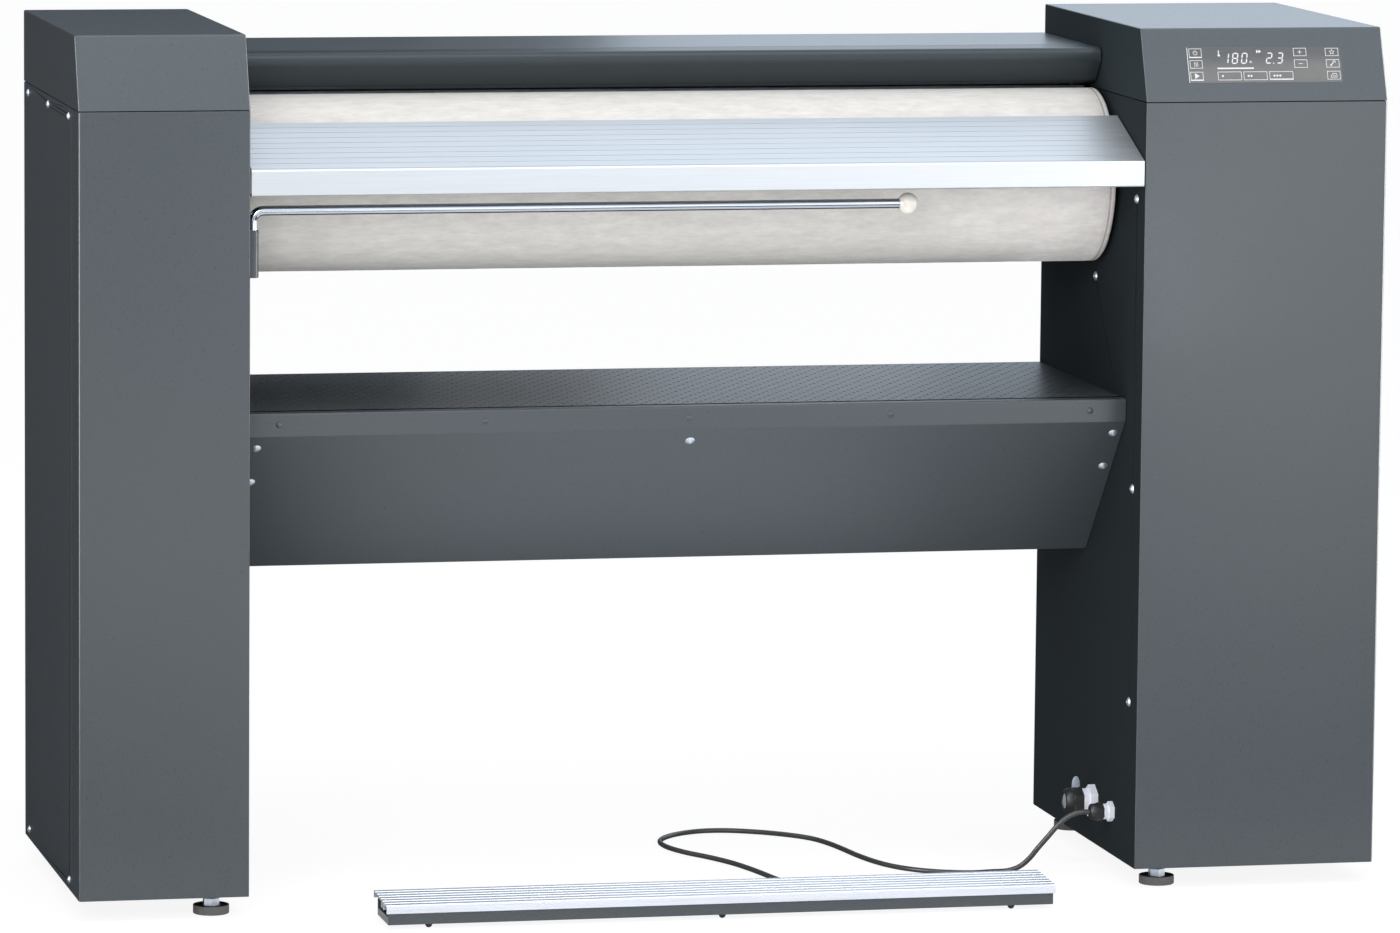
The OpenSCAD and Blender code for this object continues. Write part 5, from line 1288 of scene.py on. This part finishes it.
class IRONER_OT_covers(IronerOperator, bpy.types.Operator):
    """Folds the trough cover and rolls the finger guard's nose"""
    bl_idname = "ironer.covers"
    bl_label = "Trough cover and finger guard"

    def execute(self, context):
        low, high = box("trough_cover")
        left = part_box("left_frame")[1].x / MM + COVER_GAP
        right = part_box("right_frame")[0].x / MM - COVER_GAP
        top = high.z - SHEET / 2
        rear = high.y - SHEET / 2
        front = COVER_FRONT + FRONT_Y
        bm = bmesh.new()
        line = flat((front, top - COVER_LIP), (front, top), (rear, top), (rear, low.z + SHEET / 2),
                    (rear - COVER_RETURN, low.z + SHEET / 2))
        extrude(bm, sheet_outline(fillet(line, 2.6, 6), SHEET), left, right)
        edge, waist = END_FRONT + FRONT_Y, END_WAIST + FRONT_Y
        under = rear - COVER_RETURN + 1
        end = flat((edge, END_SIDE), (edge, top), (rear, top), (rear, low.z), (under, low.z),
                   (under, low.z + END_FOOT), (waist, END_WAIST_LOW), (waist, END_WAIST_HIGH),
                   (END_NECK + FRONT_Y, END_SIDE))
        for x in (left, right - SHEET):
            extrude(bm, fillet(end, [3, 2, 2, 2, 2, 4, 12, 20, 12], 5, closed=True), x, x + SHEET)
        for x in (left - COVER_GAP, right):
            for z in TAB_FEET:
                extrude(bm, flat((rear - TAB_W, z), (rear, z), (rear, z + 25),
                                 (rear - TAB_W, z + 25)), x, x + TAB_T)
        grow("folded_trough_cover", bm, context, [powder_coat], "base", "powder_coat",
             "trough_cover", even=True)
        dress(context, turned_steel, "guard_pin", edge=0.3)
        self.guard(context, left, right)
        return {"FINISHED"}

    def guard(self, context, left, right):
        """Sheet rolled round a nose, folded back under it, with a hinge ear at each end."""
        low, high = box("finger_guard")
        t = GUARD_T
        centre = Vector((low.y + NOSE_D, high.z - NOSE_H))
        line = flat((GUARD_REAR + FRONT_Y, high.z - t / 2))
        line += [centre + Vector(((NOSE_D - t / 2) * math.cos(a), (NOSE_H - t / 2) * math.sin(a)))
                 for a in (math.radians(90 + NOSE_TURN * k / NOSE_STEPS)
                           for k in range(NOSE_STEPS + 1))]
        fold = Vector((GUARD_FOLD + FRONT_Y, high.z - GUARD_FOLD_DOWN))
        edge = Vector((GUARD_EDGE + FRONT_Y, high.z - GUARD_EDGE_DOWN))
        tail = fillet([line[-1], fold, edge], 5, 8)
        bm = bmesh.new()
        extrude(bm, sheet_outline(line + tail[1:], t), left, right)
        pin = Vector((GUARD_PIN + FRONT_Y, high.z - GUARD_PIN_DOWN))
        ear = [pin + Vector(p) for p in EAR_ROUND] + [centre + Vector((0, NOSE_H - t / 2)), fold]
        for x in (left + EAR_INSET, right - EAR_INSET - t):
            extrude(bm, ear, x, x + t)
        grow("rolled_finger_guard", bm, context, [dark_powder_coat], "guard",
             "powder_coat_dark", "finger_guard", even=True)


# Laundry rail

# Radius of the rail and of its bend's middle line, and how far the ball's mouth stands off it
RAIL_R, RAIL_BEND, BALL_MOUTH = 5.5, 13, 0.9


class IRONER_OT_laundry_rail(IronerOperator, bpy.types.Operator):
    """Bends the chromed rail, turns its ball and coats its bracket"""
    bl_idname = "ironer.laundry_rail"
    bl_label = "Laundry rail"

    def execute(self, context):
        low, high = box("laundry_rail")
        ball_low, ball_high = box("rail_ball")
        radius, bend = RAIL_R, RAIL_BEND
        x, y, z = low.x + radius, (low.y + high.y) / 2, high.z - radius
        line = [Vector((x, y, low.z)), Vector((x, y, low.z + 0.6)), Vector((x, y, z - bend))]
        line += [Vector((x + bend * (1 - math.cos(a)), y, z - bend * (1 - math.sin(a))))
                 for a in (math.radians(6 * k) for k in range(1, 16))]
        line += [Vector((high.x - 0.5, y, z)), Vector((high.x, y, z))]
        bm = bmesh.new()
        tube(bm, line, radius, 32)
        grow("bent_rail", bm, context, [chromed_steel], "rail", "chromed_steel", "laundry_rail",
             crease=40)
        bm = bmesh.new()
        ball_r = (ball_high.z - ball_low.z) / 2
        middle = Vector((ball_high.x - ball_r, y, z))
        place = facing(middle, Vector((1, 0, 0)))
        first = math.asin((radius + BALL_MOUTH) / ball_r)
        profile = [(radius + 0.05, -ball_r * math.cos(first) + 1.2),
                   (radius + 0.3, -ball_r * math.cos(first) - 0.05)]
        profile += [(ball_r * math.sin(a), -ball_r * math.cos(a))
                    for a in (first + (math.pi - first) * k / 28 for k in range(28))]
        lathe(bm, profile + [(0, ball_r)], place, 48)
        grow("rail_end_ball", bm, context, [ball_resin], "rail", "ball_plastic", "rail_ball",
             crease=40)
        dress(context, powder_coat, "rail_bracket", edge=0.6)
        return {"FINISHED"}


# Laundry shelf

# How far the apron's upper edge stands up behind the shelf's lip
APRON_UP = 21
# Plain margins of the shelf: of the folded edges, before and behind the field of holes, and
# both ends together
SHELF_FOLD, SHELF_FRONT, SHELF_REAR, SHELF_ENDS = 9, 23, 7, 40
# Corners of one hole. A cell's front half has the corners 9 to 3, its rear half 3 to 9.
HOLE_CORNERS = 12
FRONT_HALF = (3, 2, 1, 0, 11, 10, 9)
REAR_HALF = (9, 8, 7, 6, 5, 4, 3)


class IRONER_OT_laundry_shelf(IronerOperator, bpy.types.Operator):
    """Punches the laundry shelf and folds its lip and the apron under it"""
    bl_idname = "ironer.laundry_shelf"
    bl_label = "Laundry shelf"

    def execute(self, context):
        low, high = box("laundry_tray")
        bm = bmesh.new()
        self.punched_top(bm, context.scene.ironer_sizes, low, high)
        grow("punched_laundry_shelf", bm, context, [powder_coat], "base", "powder_coat",
             "laundry_tray", crease=30, even=True)
        bm = bmesh.new()
        top, foot = apron_line()
        line = [top + Vector((0, APRON_UP)), top, foot, foot + Vector((APRON_RETURN, 0))]
        extrude(bm, sheet_outline(fillet(line, [0, 4, 3, 0], 6), SHEET), low.x, high.x)
        grow("folded_apron", bm, context, [powder_coat], "base", "powder_coat", "beam_apron",
             even=True)
        dress(context, powder_coat, "beam_rear_panel")
        dress(context, frame_coat, "cross_beam")
        return {"FINISHED"}

    def punched_top(self, bm, sizes, low, high):
        """Front lip, plain margins, and a field of staggered round holes right through."""
        t = SHEET
        hole = sizes.hole / MM / 2
        pitch = sizes.hole_pitch / MM
        row = pitch * math.sin(math.pi / 3)
        for edge, end in ((low.y, 1), (high.y, -1)):
            line = flat((edge + end * SHELF_FOLD, high.z - t / 2),
                        (edge + end * t / 2, high.z - t / 2), (edge + end * t / 2, low.z))
            extrude(bm, sheet_outline(fillet(line, 1.4, 5), t), low.x, high.x)
        field_y0, field_y1 = low.y + SHELF_FRONT, high.y - SHELF_REAR
        rows = int((field_y1 - field_y0) / row)
        columns = int((high.x - low.x - SHELF_ENDS) / pitch)
        first_x = (low.x + high.x) / 2 - columns * pitch / 2
        slack = (field_y1 - field_y0 - rows * row) / 2
        levels = (high.z, high.z - t)

        def plate(x0, y0, x1, y1):
            for z in levels:
                bm.faces.new(place_points(bm, [(x0, y0, z), (x1, y0, z), (x1, y1, z),
                                               (x0, y1, z)]))

        plate(low.x, low.y + SHELF_FOLD, high.x, field_y0 + slack)
        plate(low.x, field_y1 - slack, high.x, high.y - SHELF_FOLD)
        for j in range(rows):
            y0 = field_y0 + slack + j * row
            start = first_x + (pitch / 2 if j % 2 else 0)
            plate(low.x, y0, start, y0 + row)
            plate(start + columns * pitch, y0, high.x, y0 + row)
            for i in range(columns):
                self.cell(bm, start + (i + 0.5) * pitch, y0, pitch, row, hole, levels)
        bmesh.ops.remove_doubles(bm, verts=bm.verts, dist=SAME_POINT)

    def cell(self, bm, x, y0, pitch, row, hole, levels):
        """One cell of the shelf: both faces round its hole, and the hole's wall."""
        y = y0 + row / 2
        turns = [2 * math.pi * k / HOLE_CORNERS for k in range(HOLE_CORNERS)]
        rings = []
        for z in levels:
            ring = place_points(bm, [(x + hole * math.cos(a), y + hole * math.sin(a), z)
                                     for a in turns])
            rings.append(ring)
            c = place_points(bm, [(x - pitch / 2, y0, z), (x, y0, z), (x + pitch / 2, y0, z),
                                  (x + pitch / 2, y0 + row, z), (x, y0 + row, z),
                                  (x - pitch / 2, y0 + row, z)])
            bm.faces.new([c[1], c[2], c[3], c[4]] + [ring[k] for k in FRONT_HALF])
            bm.faces.new([c[4], c[5], c[0], c[1]] + [ring[k] for k in REAR_HALF])
        for k in range(HOLE_CORNERS):
            m = (k + 1) % HOLE_CORNERS
            bm.faces.new((rings[0][k], rings[0][m], rings[1][m], rings[1][k]))


# Cable glands

# Clearance of the cable in its cap
CABLE_PLAY = 0.3
# A cap's hexagon as a share of its length, and its dome's radius as a share of half its flats
CAP_HEX_SHARE, CAP_DOME_SHARE = 0.545, 1.06
# The dome's half outline, as shares of its radius and of the cap's length
CAP_DOME_SHARES = ((0.955, 0.5), (0.963, 0.616), (0.956, 0.78), (0.916, 0.89), (0.82, 0.967),
                   (0.714, 1))
# Its mouth: rounding at the rim, and heights of rim, edge and floor as shares of the length
MOUTH_RIM, MOUTH_SHARES = 0.5, (0.995, 0.96, 0.72)
# The tab: half its width and half its thickness, its pointed top, how far it is sunk in the
# cap, and where it stands along the cap as a share of the cap's length
TAB_HALF, TAB_HALF_T, TAB_TOP, TAB_SUNK, TAB_SHARE = 4.95, 2.0, 10, 0.6, 0.67


class IRONER_OT_cable_glands(IronerOperator, bpy.types.Operator):
    """Moulds the two cable glands, their dome caps, the plug and the tab"""
    bl_idname = "ironer.cable_glands"
    bl_label = "Cable glands"

    def execute(self, context):
        dress(context, light_nylon, "mains_gland_body", "pedal_gland_body", edge=0.7)
        plug_low, plug_high = box("mains_gland_plug")
        plug_r = (plug_high.z - plug_low.z) / 2
        for name, mouth in (("mains", plug_r), ("pedal", CABLE_D / MM / 2 + CABLE_PLAY)):
            body_low, body_high = box(name + "_gland_body")
            low, high = box(name + "_gland_cap")
            middle = (body_low + body_high) / 2
            place = facing(Vector((high.x, middle.y, middle.z)), Vector((-1, 0, 0)))
            bm = bmesh.new()
            flats = high.y - low.y
            self.cap(bm, place, flats, high.x - low.x, mouth)
            grow(name + "_dome_cap", bm, context, [black_nylon], "base", "black_nylon",
                 name + "_gland_cap", crease=32)
            if name == "mains":
                self.tab(context, low, high, middle.z + flats / 2)
        bm = bmesh.new()
        middle = (plug_low + plug_high) / 2
        place = facing(Vector((plug_high.x, middle.y, middle.z)), Vector((-1, 0, 0)))
        length = plug_high.x - plug_low.x
        lathe(bm, [(0, 0), (plug_r - 0.1, 0), (plug_r - 0.1, length - 0.5),
                   (plug_r - 0.6, length), (0, length)], place, 40)
        grow("gland_plug", bm, context, [plug_nylon], "base", "light_nylon", "mains_gland_plug")
        return {"FINISHED"}

    def cap(self, bm, place, flats, length, mouth):
        """A cap nut: a hexagon, then a full dome down to its mouth."""
        hexagon(bm, place, flats, 0, CAP_HEX_SHARE * length)
        r = CAP_DOME_SHARE * flats / 2
        dome = [(across * r, along * length) for across, along in CAP_DOME_SHARES]
        rim, edge, floor = (share * length for share in MOUTH_SHARES)
        lathe(bm, dome + [(mouth + MOUTH_RIM, rim), (mouth, edge), (mouth, floor), (0, floor)],
              place, 40)

    def tab(self, context, low, high, foot):
        """The small upright tab on the larger cap: a flattened bullet."""
        middle = Vector((low.x + (high.x - low.x) * TAB_SHARE, (low.y + high.y) / 2, foot))
        place = Matrix.Translation(middle) @ Matrix.Diagonal((1, TAB_HALF_T / TAB_HALF, 1, 1))
        tall = high.z - foot
        line = [(0, -TAB_SUNK), (TAB_HALF, -TAB_SUNK), (TAB_HALF, tall - TAB_TOP)]
        line += [(TAB_HALF * math.cos(a), tall - TAB_TOP + TAB_TOP * math.sin(a))
                 for a in (math.radians(10 * k) for k in range(1, 9))]
        bm = bmesh.new()
        lathe(bm, line + [(0, tall)], place, 28)
        grow("gland_tab", bm, context, [plug_nylon], "base", "light_nylon")


# Foot bar

# Heights of the treadle's front and rear edges over the floor, and its wall, front lip, rear
# lip and the two ribs under it
TREADLE_FRONT, TREADLE_REAR = 27.0, 30.5
TREADLE_T, TREADLE_LIP, TREADLE_TAIL, TREADLE_RIB = 2.2, 9, 8, 7
TREADLE_RIB_SHARES = (0.28, 0.42)
# Its ridges: how many, where each starts and how wide it is as shares of its pitch, how far the
# ridges stand out and the valleys lie in, and how far a ridge's flank leans
RIDGES, RIDGE_START_SHARE, RIDGE_SHARE = 7, 0.2, 0.6
RIDGE_UP, RIDGE_DOWN, RIDGE_LEAN = 0.5, 0.2, 0.5


class IRONER_OT_foot_bar(IronerOperator, bpy.types.Operator):
    """Draws the ridged treadle and finishes the foot bar under it"""
    bl_idname = "ironer.foot_bar"
    bl_label = "Foot bar"

    def execute(self, context):
        low, high = box("pedal_treadle")
        front = Vector((low.y, TREADLE_FRONT))
        rear = Vector((high.y, TREADLE_REAR))
        t, rib = TREADLE_T, TREADLE_RIB
        along = (rear - front).normalized()
        up = Vector((-along.y, along.x))
        line = [rear - Vector((0, TREADLE_TAIL)), rear - Vector((0, 0.2))]
        radius = [0.4, 0.8]
        pitch = (rear - front).length / RIDGES
        for k in reversed(range(RIDGES)):
            a = (k + RIDGE_START_SHARE) * pitch
            b = a + pitch * RIDGE_SHARE
            line += [front + along * b - up * RIDGE_DOWN,
                     front + along * (b - RIDGE_LEAN) + up * RIDGE_UP,
                     front + along * (a + RIDGE_LEAN) + up * RIDGE_UP,
                     front + along * a - up * RIDGE_DOWN]
            radius += [0.2, 0.3, 0.3, 0.2]
        line += [front, front - Vector((0, TREADLE_LIP)), front + Vector((t, -TREADLE_LIP)),
                 front + Vector((t, -t))]
        radius += [0.5, 0.4, 0.5, 0.6]
        for share in TREADLE_RIB_SHARES:
            root = front + (rear - front) * share - Vector((0, t))
            line += [root, root - Vector((0, rib)), root + Vector((t, -rib)),
                     root + Vector((t, 0.1))]
            radius += [0.5, 0.4, 0.4, 0.5]
        line += [rear + Vector((-t, -t)), rear + Vector((-t, -TREADLE_TAIL))]
        radius += [0.6, 0.4]
        bm = bmesh.new()
        extrude(bm, fillet(line, radius, 3, closed=True), low.x, high.x)
        # The treadle's paler aluminium is a painted reflection.
        grow("ridged_treadle", bm, context, [pale_aluminium], "treadle",
             "anodised_aluminium", "pedal_treadle", crease=25, even=True)
        dress(context, powder_coat, "pedal_base", edge=0.5)
        dress(context, dark_rubber, "pedal_studs", "pedal_buffers", "pedal_contact",
              "pedal_grommet", edge=0.3)
        return {"FINISHED"}


# Levelling feet

# Half outlines of a pad by radius and height: its moulded outside, and its dished smooth top
PAD_EDGE = (19.1, 9.9)
PAD = ((0, 0.4), (13, 0.4), (14, 0), (19.3, 0), (20.05, 0.5), (20.25, 1.2), (20.25, 9.4),
       (20.1, 9.85), (19.7, 10), PAD_EDGE)
# The dish is drawn in black rubber as painted shade.
PAD_DISH = (PAD_EDGE, (18.4, 8.8), (16.5, 8.3), (0, 8.3))
# The hexagon's flats, foot and top, and the threaded stem's radius at the hexagon, in its
# grooves, on its threads, and at the two corners of its rounded end
NUT_FLATS, NUT_FOOT, NUT_TOP = 17, 8.2, 18
NECK_R, GROOVE_R, THREAD_R, END_R, TIP_R = 5.6, 5.15, 6, 5.4, 4.6


class IRONER_OT_levelling_feet(IronerOperator, bpy.types.Operator):
    """Moulds the rubber pads and cuts the hexagons and threads of the feet"""
    bl_idname = "ironer.levelling_feet"
    bl_label = "Levelling feet"

    def execute(self, context):
        for corner in ("front_left", "front_right", "rear_left", "rear_right"):
            node = "foot_" + corner
            body = node.replace("_", " ")
            low, high = box(node)
            place = Matrix.Translation(((low.x + high.x) / 2, (low.y + high.y) / 2, 0))
            bm = bmesh.new()
            lathe(bm, PAD, place, 56)
            # The dished top in black is painted shade.
            lathe(bm, PAD_DISH, place, 56, index=1)
            grow(corner + "_pad", bm, context, [moulded_rubber, dark_rubber], body, "rubber", node,
                 crease=40)
            bm = bmesh.new()
            hexagon(bm, place, NUT_FLATS, NUT_FOOT, NUT_TOP)
            pitch = context.scene.ironer_sizes.thread / MM
            thread = [(0, NUT_TOP - 0.1), (NECK_R, NUT_TOP - 0.1)]
            z = NUT_TOP + 0.2
            while z + pitch < high.z - 1:
                thread += [(GROOVE_R, z), (THREAD_R, z + pitch / 2)]
                z += pitch
            lathe(bm, thread + [(END_R, high.z - 0.8), (TIP_R, high.z), (0, high.z)], place, 24)
            grow(corner + "_stem", bm, context, [bright_zinc], body, "steel", crease=32)
        return {"FINISHED"}


# Works inside

class IRONER_OT_inner_works(IronerOperator, bpy.types.Operator):
    """Finishes the trough, the drive and the bearings inside the columns"""
    bl_idname = "ironer.inner_works"
    bl_label = "Works inside"

    def execute(self, context):
        dress(context, cast_aluminium, "trough_plate", "drive_motor", "press_motor", edge=0.5)
        dress(context, turned_steel, "trough_heaters", "trough_carrier", "press_lever",
              "press_cam", "motor_rotor", edge=0.4)
        dress(context, cast_iron, "roller_pulley", "left_bearing", "right_bearing", edge=0.6)
        dress(context, sintered_bronze, "trough_bushes", edge=0.4)
        dress(context, moulded_rubber, "drive_belt", edge=0.3)
        dress(context, zinc_plate, "power_unit", edge=0.5)
        return {"FINISHED"}


OPERATORS = (
    IRONER_OT_stage, IRONER_OT_pedal_cable, IRONER_OT_columns, IRONER_OT_fasteners,
    IRONER_OT_control_panel, IRONER_OT_roller, IRONER_OT_feed_table, IRONER_OT_covers,
    IRONER_OT_laundry_rail, IRONER_OT_laundry_shelf, IRONER_OT_cable_glands, IRONER_OT_foot_bar,
    IRONER_OT_levelling_feet, IRONER_OT_inner_works,
)


class IRONER_PT_panel(bpy.types.Panel):
    """Lists the steps that dress the ironer, with its sizes and colours"""
    bl_idname = "IRONER_PT_panel"
    bl_label = "Flatwork ironer"
    bl_space_type = "VIEW_3D"
    bl_region_type = "UI"
    bl_category = "Ironer"

    def draw(self, context):
        for group in (context.scene.ironer_sizes, context.scene.ironer_colours):
            column = self.layout.column(align=True)
            for name in group.__annotations__:
                column.prop(group, name)
        for operator in OPERATORS:
            self.layout.operator(operator.bl_idname)


CLASSES = (IronerSizes, IronerColours, *OPERATORS, IRONER_PT_panel)


def register():
    for cls in CLASSES:
        bpy.utils.register_class(cls)
    bpy.types.Scene.ironer_sizes = PointerProperty(type=IronerSizes)
    bpy.types.Scene.ironer_colours = PointerProperty(type=IronerColours)


def unregister():
    del bpy.types.Scene.ironer_colours
    del bpy.types.Scene.ironer_sizes
    for cls in reversed(CLASSES):
        bpy.utils.unregister_class(cls)


def main():
    register()
    for operator in OPERATORS:
        group, name = operator.bl_idname.split(".")
        getattr(getattr(bpy.ops, group), name)()


if __name__ == "__main__":
    main()
